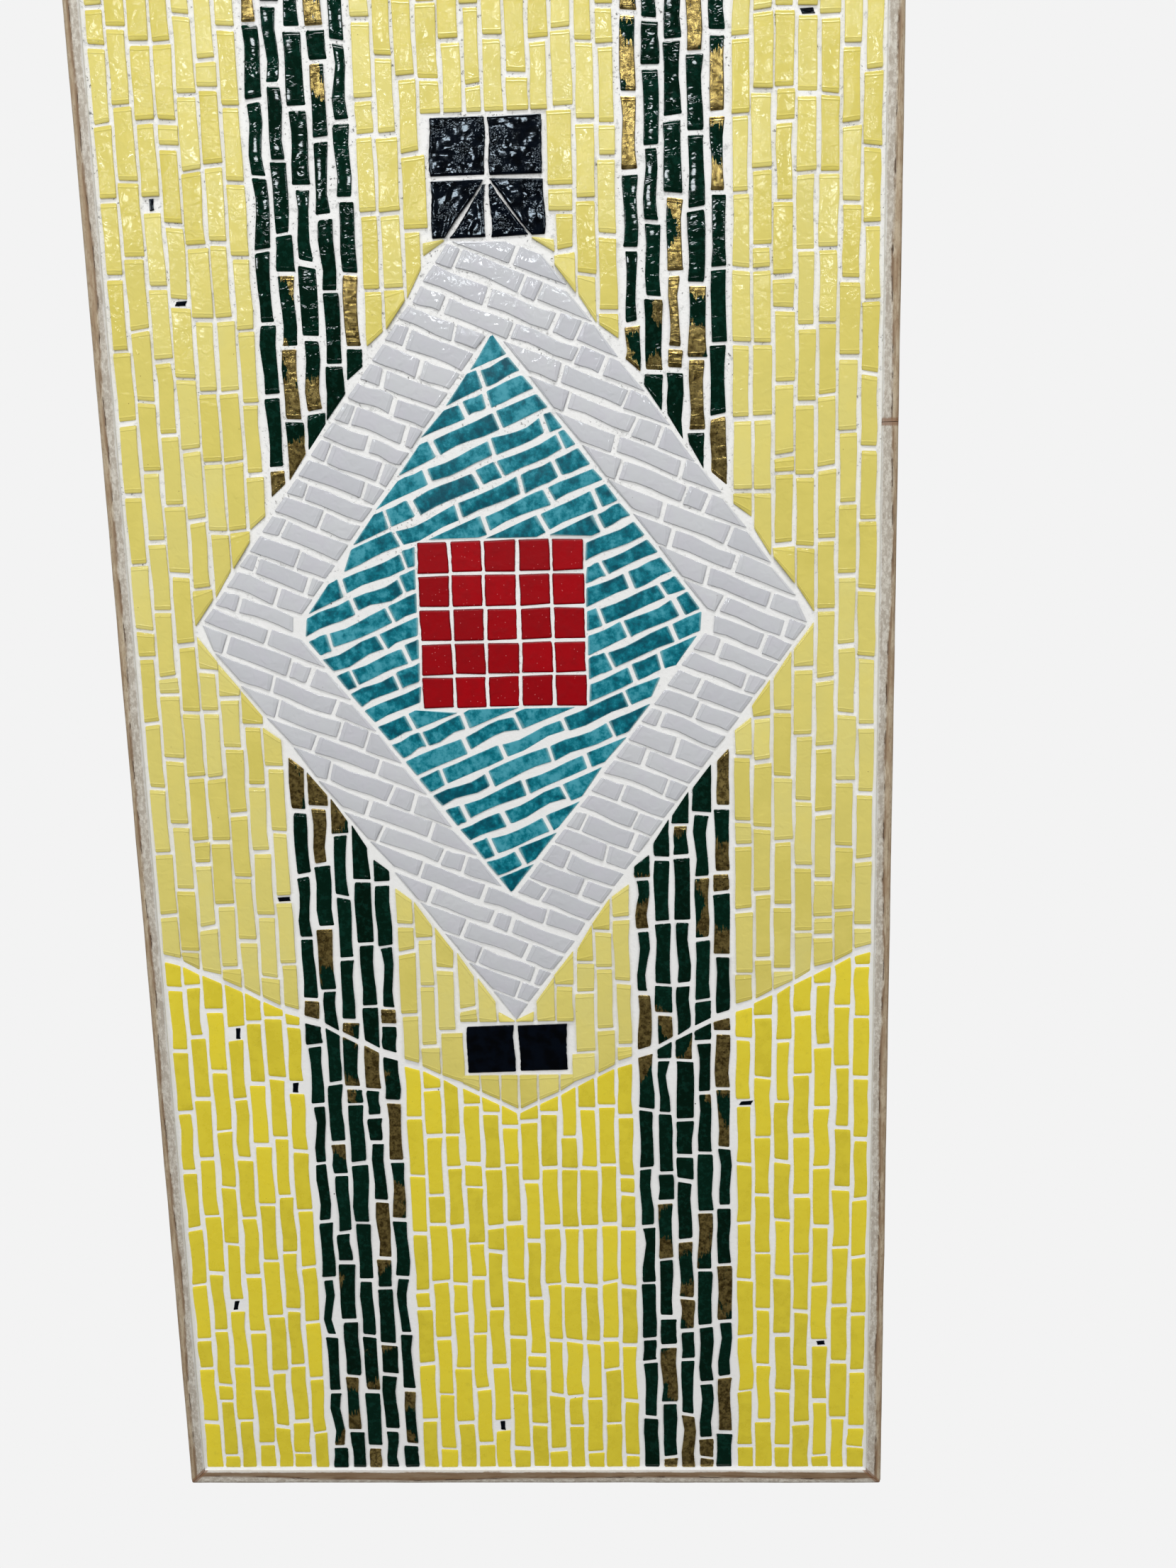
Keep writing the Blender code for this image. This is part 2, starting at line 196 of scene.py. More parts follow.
class Graph:
    """Adds nodes to one tree."""

    def __init__(self, tree):
        self.tree = tree

    def add(self, kind, settings=None, inputs=None, output=0):
        """A node of a kind, its settings made before its sockets are filled. Gives one output."""
        node = self.tree.nodes.new(kind)
        for name, value in (settings or {}).items():
            setattr(node, name, value)
        for key, value in (inputs or {}).items():
            socket = node.inputs[key]
            if isinstance(value, Wire):
                self.tree.links.new(value.socket, socket)
            elif socket.type == "RGBA":
                socket.default_value = (*value, 1.0)
            else:
                socket.default_value = value
        return Wire(self, node.outputs[output])

    def vector(self, x=0.0, y=0.0, z=0.0):
        return self.add("ShaderNodeCombineXYZ", {}, {0: x, 1: y, 2: z})

    def length(self, vector):
        return self.add("ShaderNodeVectorMath", {"operation": "LENGTH"}, {0: vector}, "Value")

    def unit(self, vector):
        return self.add("ShaderNodeVectorMath", {"operation": "NORMALIZE"}, {0: vector})

    def sine(self, angle):
        return self.add("ShaderNodeMath", {"operation": "SINE"}, {0: angle})

    def root(self, number):
        return self.add("ShaderNodeMath", {"operation": "SQRT"}, {0: number})

    def mix(self, share, a, b):
        """Between two vectors."""
        return self.add("ShaderNodeMix", {"data_type": "VECTOR"}, {0: share, 4: a, 5: b}, 1)

    def blend(self, share, a, b):
        """Between two colours."""
        return self.add("ShaderNodeMix", {"data_type": "RGBA"}, {0: share, 6: a, 7: b}, 2)

    def noise(self, place, size, detail=2.0, rough=0.5, warp=0.0):
        """Clouds from 0 to 1, with lumps about as wide as size."""
        shape = {"Detail": detail, "Roughness": rough, "Distortion": warp}
        return self.add("ShaderNodeTexNoise", {}, {"Vector": place, "Scale": 1 / size, **shape})

    def cells(self, place, size):
        """How far a place is from the middle of its cell, in cells."""
        return self.add("ShaderNodeTexVoronoi", {}, {"Vector": place, "Scale": 1 / size})

    def store(self, geometry, label, value, kind="FLOAT"):
        """The geometry with a value kept on each of its points, under a label."""
        settings = {"data_type": kind, "domain": "POINT"}
        inputs = {0: geometry, "Name": label, "Value": value}
        return self.add("GeometryNodeStoreNamedAttribute", settings, inputs)

    def specks(self, place, size, radius, share):
        """Round spots, one in a share of the cells of a given size."""
        distance = self.cells(place, size)
        chance = distance.sibling("Color").part(0)
        return (1 - distance.over(radius / size, 0.25 * radius / size)) * chance.over(1 - share, 0.01)


def node_tree(name, inputs):
    """An empty Geometry Nodes tree with named inputs, and a wire for each."""
    tree = bpy.data.node_groups.new(name, "GeometryNodeTree")
    tree.interface.new_socket("Geometry", in_out="OUTPUT", socket_type="NodeSocketGeometry")
    tree.interface.new_socket("Geometry", in_out="INPUT", socket_type="NodeSocketGeometry")
    for label, kind in inputs.items():
        tree.interface.new_socket(label, in_out="INPUT", socket_type="NodeSocket" + kind)
    graph = Graph(tree)
    source = tree.nodes.new("NodeGroupInput")
    return graph, {label: Wire(graph, source.outputs[label]) for label in ("Geometry", *inputs)}


def close_tree(graph, geometry, position, material):
    """Ends a tree: every point is moved to its position, in smooth, plain mesh of one material."""
    moved = graph.add("GeometryNodeSetPosition", {}, {"Geometry": geometry, "Position": position})
    realized = graph.add("GeometryNodeRealizeInstances", {}, {0: moved})
    smooth = graph.add("GeometryNodeSetShadeSmooth", {"domain": "FACE"}, {0: realized})
    finished = graph.add("GeometryNodeSetMaterial", {}, {"Geometry": smooth, "Material": material})
    sink = graph.tree.nodes.new("NodeGroupOutput")
    graph.tree.links.new(finished.socket, sink.inputs[0])
    return graph.tree


def link(thing):
    """Puts an object in the scene."""
    bpy.context.scene.collection.objects.link(thing)
    return thing


def bake(name, mesh, tree, values):
    """Runs a tree over a mesh and keeps the result as a plain mesh object at the origin."""
    carrier = link(bpy.data.objects.new(name + "_carrier", mesh))
    modifier = carrier.modifiers.new("tree", "NODES")
    modifier.node_group = tree
    identifiers = {item.name: item.identifier for item in tree.interface.items_tree if item.in_out == "INPUT"}
    for label, value in values.items():
        modifier[identifiers[label]] = value
    depsgraph = bpy.context.evaluated_depsgraph_get()
    baked = bpy.data.meshes.new_from_object(carrier.evaluated_get(depsgraph), depsgraph=depsgraph)
    bpy.data.objects.remove(carrier)
    baked.name = name
    return link(bpy.data.objects.new(name, baked))


def keep(piece, nodes, edge_angle):
    """Turns a made piece's faces outwards and puts it on the panel, in place of its solids."""
    outward(piece.data)
    piece.data.set_sharp_from_angle(angle=math.radians(edge_angle))
    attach(piece, "root")
    if nodes:
        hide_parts(*nodes)


def outward(mesh):
    """Turns every face of a closed mesh outwards."""
    shape = bmesh.new()
    shape.from_mesh(mesh)
    bmesh.ops.recalc_face_normals(shape, faces=shape.faces)
    shape.to_mesh(mesh)
    shape.free()


# Trees

# Numbers that each tile carries, beside its four corners
TILE_CORNERS = ("corner_a", "corner_b", "corner_c", "corner_d")
TILE_HABITS = ("bow_left", "bow_right", "sway_left", "sway_right", "level", "lean", "pitch")
TILE_TRAITS = ("seed", "tone", "gilding")


def plain_mesh(name, shape):
    """The mesh of a shape that is finished."""
    mesh = bpy.data.meshes.new(name)
    shape.to_mesh(mesh)
    shape.free()
    return mesh


def slab_mesh(name, across_steps, along_steps):
    """A closed slab on the unit square: its face gridded at z = 0, its sides and plain back at z = 1."""
    shape = bmesh.new()
    rows = [[shape.verts.new((across, along, 0)) for across in across_steps] for along in along_steps]
    for row, following in zip(rows, rows[1:]):
        for column in range(len(across_steps) - 1):
            shape.faces.new((row[column], row[column + 1], following[column + 1], following[column]))
    rim = [edge for edge in shape.edges if edge.is_boundary]
    extruded = bmesh.ops.extrude_edge_only(shape, edges=rim)["geom"]
    for corner in (item for item in extruded if isinstance(item, bmesh.types.BMVert)):
        corner.co.z = 1
    bmesh.ops.contextual_create(shape, geom=[edge for edge in shape.edges if edge.is_boundary])
    return plain_mesh(name, shape)


def border_grid(steps, middle_rows):
    """Grid lines over 0 to 1: the given steps in both borders, even rows between them."""
    border = [BORDER_SHARE * step for step in steps]
    middle_share = 1 - 2 * BORDER_SHARE
    middle = [BORDER_SHARE + middle_share * row / middle_rows for row in range(1, middle_rows)]
    return border + middle + [1 - step for step in reversed(border)]


def border_distance(step, border, total):
    """How far along a grid line lies, when each border is to be so wide and the whole so long."""
    start = border * (step / BORDER_SHARE).held()
    middle = (total - border * 2) * ((step - BORDER_SHARE) / (1 - 2 * BORDER_SHARE)).held()
    end = border * ((step - (1 - BORDER_SHARE)) / BORDER_SHARE).held()
    return start + middle + end


def tile_tree():
    """Turns points, one for each tile, into glazed bodies with broken sides and pressed ends."""
    sizes = (
        "Face Depth", "Back Depth", "End Border", "Side Border", "End Slope", "End Round", "Side Round",
        "Corner Radius", "Crown", "Ripple Height", "Ripple Size", "Raggedness",
    )
    inputs = {"Template": "Object", "Material": "Material", **{size: "Float" for size in sizes}}
    graph, given = node_tree("glazed_tiles", inputs)
    template = graph.add("GeometryNodeObjectInfo", {}, {0: given["Template"]}, "Geometry")
    inputs = {"Points": given["Geometry"], "Instance": template}
    copies = graph.add("GeometryNodeInstanceOnPoints", {}, inputs)
    bodies = graph.add("GeometryNodeRealizeInstances", {}, {0: copies})

    def number(name):
        return graph.add("GeometryNodeInputNamedAttribute", {"data_type": "FLOAT"}, {0: name})

    def corner(name):
        return graph.add("GeometryNodeInputNamedAttribute", {"data_type": "FLOAT_VECTOR"}, {0: name})

    step = graph.add("GeometryNodeInputPosition")
    a, b, c, d = (corner(name) for name in TILE_CORNERS)
    seed, wall = number("seed"), step.part(2)
    length = (graph.length(d - a) + graph.length(c - b)) * 0.5
    width = (graph.length(b - a) + graph.length(c - d)) * 0.5
    end_border = given["End Border"].smaller(length * END_BORDER_LIMIT)
    side_border = given["Side Border"].smaller(width * SIDE_BORDER_LIMIT)
    along = border_distance(step.part(1), end_border, length)
    across = border_distance(step.part(0), side_border, width)
    u, v = across / width, along / length
    from_side = across.smaller(width - across)
    from_end = along.smaller(length - along)
    for label, value in (("from_side", from_side), ("from_end", from_end), ("wall", wall)):
        bodies = graph.store(bodies, label, value)

    # The nipped sides bow, sway and crumble; the pressed ends stay straight
    rightward = graph.unit((b - a) + (c - d))
    upward = graph.unit((d - a) + (c - b))
    swell = v * (1 - v) * 4
    swing = graph.sine(v * math.tau)

    def broken_side(bow, sway, lane):
        crumb_length = 0.0024
        crumbs = graph.noise(graph.vector(along / crumb_length, lane, seed * 90), 1.0, 2.0) - 0.5
        return number(bow) * swell + number(sway) * swing + crumbs * given["Raggedness"]

    left, right = broken_side("bow_left", "sway_left", 3.0), broken_side("bow_right", "sway_right", 8.0)
    shift = left * (1 - u) - right * u
    spot = graph.mix(v, graph.mix(u, a, b), graph.mix(u, d, c)) + rightward * shift

    # Corners are rounded by drawing each corner's square patch into a quarter disc
    radius = given["Corner Radius"]
    toward_side = (1 - from_side / radius).held()
    toward_end = (1 - from_end / radius).held()
    pull_side = toward_side * (graph.root(1 - toward_end * toward_end * 0.5) - 1) * radius
    pull_end = toward_end * (graph.root(1 - toward_side * toward_side * 0.5) - 1) * radius
    right_half = (u - 0.5).over(0.0, 0.001) * 2 - 1
    top_half = (v - 0.5).over(0.0, 0.001) * 2 - 1
    spot = spot + rightward * (pull_side * right_half) + upward * (pull_end * top_half)

    # The face: a slope and a round at each pressed end, a small round at each side, a crown and ripples
    to_rim = (1 - from_end / end_border).held()
    end_slope = to_rim * given["End Slope"]
    round_start = 1 - END_STEPS[1]
    end_round = ((to_rim - round_start) / END_STEPS[1]).held() * given["End Round"]
    side_round = (1 - from_side / side_border).held() ** 4.0 * given["Side Round"]
    dome = (u * 2 - 1) * (u * 2 - 1) * given["Crown"]
    ripple_cell = graph.vector(given["Ripple Size"], given["Ripple Size"], 1.0)
    lumps = graph.noise(spot / ripple_cell + seed * 30, 1.0, 1.0)
    face = number("level") + (u - 0.5) * number("lean") + (v - 0.5) * number("pitch")
    face = face + (lumps - 0.5) * given["Ripple Height"] - dome - end_slope - end_round - side_round
    face_depth = given["Face Depth"] + face
    depth = face_depth + (given["Back Depth"] - face_depth) * wall
    placed = graph.vector(spot.part(0), depth * -1, spot.part(1))
    return close_tree(graph, bodies, placed, given["Material"])


def grout_tree():
    """Turns the unit slab into the bed of grout, uneven and drawn up the frame at its rim."""
    sizes = (
        "Left", "Right", "Bottom", "Top", "Face Depth", "Back Depth",
        "Unevenness", "Fillet Width", "Fillet Height",
    )
    graph, given = node_tree("grout_slab", {"Material": "Material", **{size: "Float" for size in sizes}})
    step = graph.add("GeometryNodeInputPosition")
    x = given["Left"] + (given["Right"] - given["Left"]) * step.part(0)
    z = given["Bottom"] + (given["Top"] - given["Bottom"]) * step.part(1)
    flat = graph.vector(x, z)
    from_stile = (x - given["Left"]).smaller(given["Right"] - x)
    from_edge = from_stile.smaller((z - given["Bottom"]).smaller(given["Top"] - z))
    wander = given["Fillet Width"] * (0.7 + graph.noise(flat, 0.012) * 0.6)
    fillet = (1 - from_edge / wander).held() ** 2.0 * given["Fillet Height"]
    relief = (graph.noise(flat, 0.011, 2.0) - 0.5) * 0.6 + (graph.noise(flat, 0.0045, 1.0) - 0.5) * 0.4
    face_depth = given["Face Depth"] + relief * given["Unevenness"] + fillet
    depth = face_depth + (given["Back Depth"] - face_depth) * step.part(2)
    placed = graph.vector(x, depth * -1, z)
    return close_tree(graph, given["Geometry"], placed, given["Material"])


def strip_tree():
    """Turns a straight, round-edged prism into one strip of the frame, mitred or butted, planed by hand."""
    inputs = {
        "Material": "Material", "Inner Edge": "Vector", "Outward": "Vector", "Along": "Vector",
        "Start": "Float", "End": "Float", "Start Mitre": "Float", "End Mitre": "Float",
        "Width": "Float", "Seed": "Float", "Unevenness": "Float", "Corner Radius": "Float",
    }
    graph, given = node_tree("wood_strip", inputs)
    place = graph.add("GeometryNodeInputPosition")
    out, front, step = place.part(0), place.part(1), place.part(2)
    inset = given["Width"] - out
    start = given["Start"] + inset * given["Start Mitre"]
    end = given["End"] - inset * given["End Mitre"]
    along = start + (end - start) * step
    # The outer corner of a mitred end is worn round
    radius = given["Corner Radius"]
    over_side = (radius - inset).larger(0.0)
    over_start = (radius - (along - given["Start"])).larger(0.0) * given["Start Mitre"]
    over_end = (radius - (given["End"] - along)).larger(0.0) * given["End Mitre"]
    over_tip = over_start.larger(over_end)
    reach = graph.root(over_side * over_side + over_tip * over_tip)
    excess = 1 - radius / reach.larger(radius)
    out = out - over_side * excess
    along = along + (over_start - over_end) * excess
    body = graph.store(given["Geometry"], "grain", graph.vector(out, front, along), "FLOAT_VECTOR")
    body = graph.store(body, "from_joint", (along - start).smaller(end - along))
    body = graph.store(body, "seed", given["Seed"])
    dent_width, dent_length = 0.006, 0.035
    dent_place = graph.vector(out / dent_width, front / dent_width, along / dent_length + given["Seed"] * 9)
    dents = graph.noise(dent_place, 1.0, 3.0) - 0.5
    normal = graph.add("GeometryNodeInputNormal")
    forward = graph.vector(0.0, front * -1, 0.0)
    spot = given["Inner Edge"] + given["Outward"] * out + given["Along"] * along + forward
    # The normal is still the unturned prism's, so its parts are laid along the strip's own directions
    push = given["Outward"] * normal.part(0) + graph.vector(0.0, normal.part(1) * -1, 0.0)
    spot = spot + push * ((dents - 0.12) * given["Unevenness"])
    return close_tree(graph, body, spot, given["Material"])


def rounded_prism(name, width, depth, outer_radius, inner_radius, steps):
    """A closed prism along z, in steps from 0 to 1. Its inner side is at x = 0, its face at y = depth."""
    def arc(x, y, radius, first, last):
        angles = [math.radians(first + (last - first) * share / 4) for share in range(5)]
        return [(x + radius * math.cos(angle), y + radius * math.sin(angle)) for angle in angles]

    profile = [(0.0, 0.0), (width * 0.5, 0.0)]
    profile += [(width, height) for height in (0.0, depth * 0.25, depth * 0.5, depth * 0.7)]
    profile += arc(width - outer_radius, depth - outer_radius, outer_radius, 0, 90)
    face = width - outer_radius - inner_radius
    profile += [(inner_radius + face * share, depth) for share in (0.8, 0.6, 0.4, 0.2)]
    profile += arc(inner_radius, depth - inner_radius, inner_radius, 90, 180)
    profile += [(0.0, depth * 0.7), (0.0, depth * 0.35)]
    shape = bmesh.new()
    rings = [[shape.verts.new((x, y, step)) for x, y in profile] for step in steps]
    for ring, following in zip(rings, rings[1:]):
        for number in range(len(profile)):
            shape.faces.new((ring[number - 1], ring[number], following[number], following[number - 1]))
    shape.faces.new(rings[0])
    shape.faces.new(rings[-1])
    return plain_mesh(name, shape)


# Reading the solids


def outline_loops(node):
    """The outlines of a flat solid's back, as lists of (across, up), read from the frame."""
    shape = bmesh.new()
    same_place, same_level = 1e-6, 1e-5
    shape.from_mesh(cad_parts[node].data)
    bmesh.ops.remove_doubles(shape, verts=shape.verts, dist=same_place)
    back = max(vertex.co.y for vertex in shape.verts)
    flat = {face for face in shape.faces if all(back - corner.co.y < same_level for corner in face.verts)}
    neighbours = {}
    for face in flat:
        for edge in face.edges:
            if sum(other in flat for other in edge.link_faces) == 1:
                first, last = edge.verts
                neighbours.setdefault(first, []).append(last)
                neighbours.setdefault(last, []).append(first)
    loops = []
    for start in sorted(neighbours, key=lambda vertex: (vertex.co.x, vertex.co.z)):
        if start not in neighbours:
            continue
        loop, here, previous = [], start, None
        while here in neighbours:
            onward = [other for other in neighbours.pop(here) if other is not previous]
            loop.append(Vector((here.co.x, here.co.z)))
            previous, here = here, onward[0]
        loops.append(loop)
    shape.free()
    return loops


def cross(first, second):
    """Twice the area between two flat vectors, positive where the second is to the left of the first."""
    return first.x * second.y - first.y * second.x


def corner_size(loop, number):
    """The area of the triangle that a corner makes with its neighbours."""
    here, before, after = loop[number], loop[number - 1], loop[(number + 1) % len(loop)]
    return abs(cross(here - before, after - here)) / 2


def four_corners(loop):
    """The four main corners of a small flat solid, anticlockwise from the lower left."""
    corners = list(loop)
    if sum(cross(corner, corners[number - 1]) for number, corner in enumerate(corners)) > 0:
        corners.reverse()
    while len(corners) > 4:
        corners.pop(min(range(len(corners)), key=lambda number: corner_size(corners, number)))
    least_area, blunt = 1e-6, 0.0016
    if len(corners) == 4 and min(corner_size(corners, number) for number in range(4)) < least_area:
        corners.pop(min(range(4), key=lambda number: corner_size(corners, number)))
    if len(corners) == 3:
        top = max(range(3), key=lambda number: corners[number].y)
        here, before, after = corners[top], corners[top - 1], corners[(top + 1) % 3]
        corners[top:top + 1] = [here + (side - here).normalized() * blunt for side in (before, after)]
    first = min(range(4), key=lambda number: corners[number].x + corners[number].y)
    return corners[first:] + corners[:first]


def spans(loops, direction, offset):
    """Where a line parallel to direction, offset to its right, runs inside the loops: (start, end) pairs."""
    rightward = Vector((direction.y, -direction.x))
    crossings = []
    for loop in loops:
        for number, corner in enumerate(loop):
            previous = loop[number - 1]
            before, after = previous.dot(rightward) - offset, corner.dot(rightward) - offset
            if (before > 0) != (after > 0):
                crossings.append(previous.lerp(corner, before / (before - after)).dot(direction))
    crossings.sort()
    return list(zip(crossings[::2], crossings[1::2]))


def overlap(first, second):
    """How much of their length two spans share."""
    return min(first[1], second[1]) - max(first[0], second[0])


# Laying tiles


def one_tile(corners, dice, habits, turns=(0, 0, 0, 0)):
    """What the tree needs to know of one tile. Turns are its bows and sways, in metres."""
    tile = {name: (corner.x, corner.y, 0.0) for name, corner in zip(TILE_CORNERS, corners)}
    tile.update(zip(("bow_left", "bow_right", "sway_left", "sway_right"), turns))
    tile["seed"] = dice.random()
    tile["tone"] = dice.random()
    tile["gilding"] = dice.random()
    tile["level"] = habits["level"] + dice.gauss(0, LEVEL_SPREAD)
    tile["lean"] = dice.gauss(0, 0.5) * habits["lean"]
    tile["pitch"] = dice.gauss(0, 0.5) * habits["pitch"]
    return tile


class Tiler:
    """Lays courses of tiles over one coloured area, the way a hand does."""

    def __init__(self, node, slant, pitch, origin, seed, habits):
        self.loops = outline_loops(node)
        self.direction = Vector((math.cos(slant), math.sin(slant)))
        self.rightward = Vector((self.direction.y, -self.direction.x))
        self.origin = origin.dot(self.rightward)
        self.pitch = pitch
        self.random = random.Random(seed)
        self.habits = habits
        self.phases = {}
        self.tiles = []
        self.splinters = []

    def boundary(self, number, along):
        """Where the joint to the left of a course lies: it wanders about its true place."""
        if number not in self.phases:
            dice = random.Random(number * 31 + SEED)
            self.phases[number] = [dice.uniform(0, math.tau) for _ in JOINT_WAVES]
        waves = zip(JOINT_WAVES, self.phases[number])
        wander = sum(share * math.sin(along / length + phase) for (share, length), phase in waves)
        return self.origin + number * self.pitch + wander * self.habits["wander"]

    def place(self, across, along):
        """The flat place that lies so far across the courses and so far along them."""
        return self.rightward * across + self.direction * along

    def room(self, across, along):
        """How far the area runs to both sides of a place, at right angles to the courses."""
        for low, high in spans(self.loops, -self.rightward, along):
            if low <= -across <= high:
                return -high, -low
        return None

    def ends(self, number, width):
        """The stretches of a course, each with its start and end at the left and right side of the course."""
        middle = self.origin + (number + 0.5) * self.pitch
        slack = 0.001
        found = []
        for centre in spans(self.loops, self.direction, middle):
            starts, stops = [], []
            for share in (-0.5, -0.25, 0.0, 0.25, 0.5):
                near = spans(self.loops, self.direction, middle + share * width)
                near = [span for span in near if overlap(span, centre) > 0]
                start, stop = max(near, key=lambda span: overlap(span, centre)) if near else centre
                limit = self.habits["steepest"] * abs(share) * width + slack
                starts.append((share, start if abs(start - centre[0]) < limit else centre[0]))
                stops.append((share, stop if abs(stop - centre[1]) < limit else centre[1]))
            found.append((self.straight_end(starts, 1), self.straight_end(stops, -1)))
        return found

    @staticmethod
    def straight_end(samples, inward):
        """A straight cut that stays inside every sample: its places at the left and right side."""
        left, right = samples[0][1], samples[-1][1]
        lines = [left + (right - left) * (share + 0.5) for share, _ in samples]
        excess = max(0.0, *((value - line) * inward for (_, value), line in zip(samples, lines)))
        return left + excess * inward, right + excess * inward

    def lay(self):
        """Lays every course that crosses the area."""
        reach = [corner.dot(self.rightward) - self.origin for loop in self.loops for corner in loop]
        first, last = math.floor(min(reach) / self.pitch), math.ceil(max(reach) / self.pitch)
        for number in range(first, last):
            for start, stop in self.ends(number, self.pitch - self.habits["joint"]):
                self.lay_stretch(number, start, stop)
        return self

    def lay_stretch(self, number, here, target):
        """Cuts one stretch of a course into stock tiles and odd lengths, with joints between."""
        dice = self.random
        first = True
        while True:
            if max(target) - min(here) <= LONGEST_STRIP:
                self.add_tile(number, here, target)
                return
            long_side = STOCK_TILE + dice.uniform(*CUT_SLIP)
            if first:
                long_side *= min(1.0, FIRST_SHARES[number % 2] + dice.uniform(*FIRST_SLIP))
            elif dice.random() < self.habits["odd_lengths"]:
                long_side *= dice.uniform(*ODD_SHARES)
            long_side = max(long_side, max(here) - min(here) + SHORTEST_TILE + LENGTH_TO_SPARE)
            cut = min(here) + long_side
            joint = END_JOINT * dice.uniform(*JOINT_SHARES)
            if min(target) - (cut + joint) < SHORTEST_TILE:
                cut = min(target) - joint - SHORTEST_TILE - dice.uniform(0.0, 2 * LENGTH_TO_SPARE)
            if cut - max(here) < SHORTEST_TILE:
                self.add_tile(number, here, target)
                return
            tilt = dice.gauss(0, CUT_SLANT)
            self.add_tile(number, here, (cut - tilt, cut + tilt))
            rest = min(target) - cut
            if dice.random() < self.habits["splinters"] and rest > STRAIGHT_LENGTH_FOR_A_SPLINTER:
                joint = self.add_splinter(number, cut)
            here = (cut + joint - tilt, cut + joint + tilt)
            first = False

    def add_splinter(self, number, along):
        """A dark chip pressed into a joint, upright or lying; gives the joint that it needs."""
        dice = self.random
        width, length = UPRIGHT_SPLINTER if dice.random() < 0.5 else LYING_SPLINTER
        width, length = width * dice.uniform(0.75, 1.25), length * dice.uniform(0.8, 1.2)
        across = (self.boundary(number, along) + self.boundary(number + 1, along)) / 2
        across += dice.uniform(-0.002, 0.002)
        slip = dice.uniform(-0.0008, 0.0008)
        low = along + SPLINTER_GAP
        high = low + length
        corners = [
            self.place(across - width / 2 - slip, low),
            self.place(across + width / 2 - slip, low + dice.uniform(-0.0004, 0.0007)),
            self.place(across + width / 2 + slip, high),
            self.place(across - width / 2 + slip, high - dice.uniform(0.0, 0.0008)),
        ]
        self.splinters.append(one_tile(corners, dice, SPLINTER_HABITS, (0.0002, 0.0003, 0.0, 0.0001)))
        return length + 2 * SPLINTER_GAP

    def side(self, number, hand, samples):
        """The side of a tile: its course's joint, or the edge of the area where that is close by."""
        edge = hand * min(hand * self.boundary(number, along) for along, _ in samples)
        edge -= hand * self.habits["joint"] / 2
        if any(room is None for _, room in samples):
            return edge
        walls = [room[1] if hand > 0 else room[0] for _, room in samples]
        wall = hand * min(hand * value for value in walls)
        farthest = max((value - edge) * hand for value in walls)
        if (wall - edge) * hand < 0 or farthest < NARROWEST_GAP_FOR_A_COURSE:
            return wall
        return edge

    def add_tile(self, number, start, stop):
        """One tile of a course, from its start to its end at the left and right side."""
        dice, habits = self.random, self.habits
        middle = self.origin + (number + 0.5) * self.pitch
        low, high = max(start), min(stop)
        centre = (low + high) / 2
        inset, too_short = 0.0007, 0.002
        checks = [centre] if high - low < too_short else [low + inset, centre, high - inset]
        samples = [(along, self.room(middle, along)) for along in checks]
        left = self.side(number, -1, samples)
        right = self.side(number + 1, 1, samples)
        if right - left < NARROWEST_TILE:
            return
        turns = self.bends(min(1.0, max(0.0, (high - low) / FULL_BEND_LENGTH)))
        # A side that bends far out of its corners is drawn in first, so that the joints stay open
        bow_left, bow_right, sway_left, sway_right = turns
        allowed, narrow, least_side = 0.0002, 0.005, 0.0006
        spare_left = max(0.0, abs(sway_left) - allowed, -bow_left - allowed)
        spare_right = max(0.0, abs(sway_right) - allowed, -bow_right - allowed)
        room = max(0.0, right - left - narrow) / max(1e-6, spare_left + spare_right)
        left += spare_left * min(1.0, room)
        right -= spare_right * min(1.0, room)
        taper = habits["taper"]
        corners = [
            self.place(left + taper * dice.random() ** 2, start[0]),
            self.place(right - taper * dice.random() ** 2, start[1]),
            self.place(right - taper * dice.random() ** 2, max(stop[1], start[1] + least_side)),
            self.place(left + taper * dice.random() ** 2, max(stop[0], start[0] + least_side)),
        ]
        self.tiles.append(one_tile(corners, dice, habits, turns))

    def bends(self, share):
        """How a tile's sides bend: a waist or belly, and a curve and a wave that both sides follow."""
        dice, habits = self.random, self.habits
        curve = dice.gauss(0, 0.5) * habits["curve"] * share
        wave = dice.gauss(0, 0.5) * habits["wave"] * share
        bows = [dice.uniform(-0.3, 1.0) * habits["bow"] * share for _ in range(2)]
        sways = [dice.gauss(0, 0.25) * habits["wave"] * share for _ in range(2)]
        return bows[0] + curve, bows[1] - curve, sways[0] + wave, sways[1] - wave


def tile_points(name, tiles):
    """A mesh with a point for each tile, which carries what the tree needs."""
    mesh = bpy.data.meshes.new(name)
    mesh.vertices.add(len(tiles))
    for label in TILE_CORNERS:
        values = [value for tile in tiles for value in tile[label]]
        mesh.attributes.new(label, "FLOAT_VECTOR", "POINT").data.foreach_set("vector", values)
    for label in TILE_HABITS + TILE_TRAITS:
        values = [tile[label] for tile in tiles]
        mesh.attributes.new(label, "FLOAT", "POINT").data.foreach_set("value", values)
    return mesh


# Finishes

# How far from a pressed end the glaze's bead lies
BEAD_PLACE = 0.0021


def tint(red, green, blue):
    """A colour as the eye names it, from 0 to 255, in the renderer's own scale."""
    def linear(value):
        value /= 255
        return value / 12.92 if value <= 0.04045 else ((value + 0.055) / 1.055) ** 2.4
    return linear(red), linear(green), linear(blue)


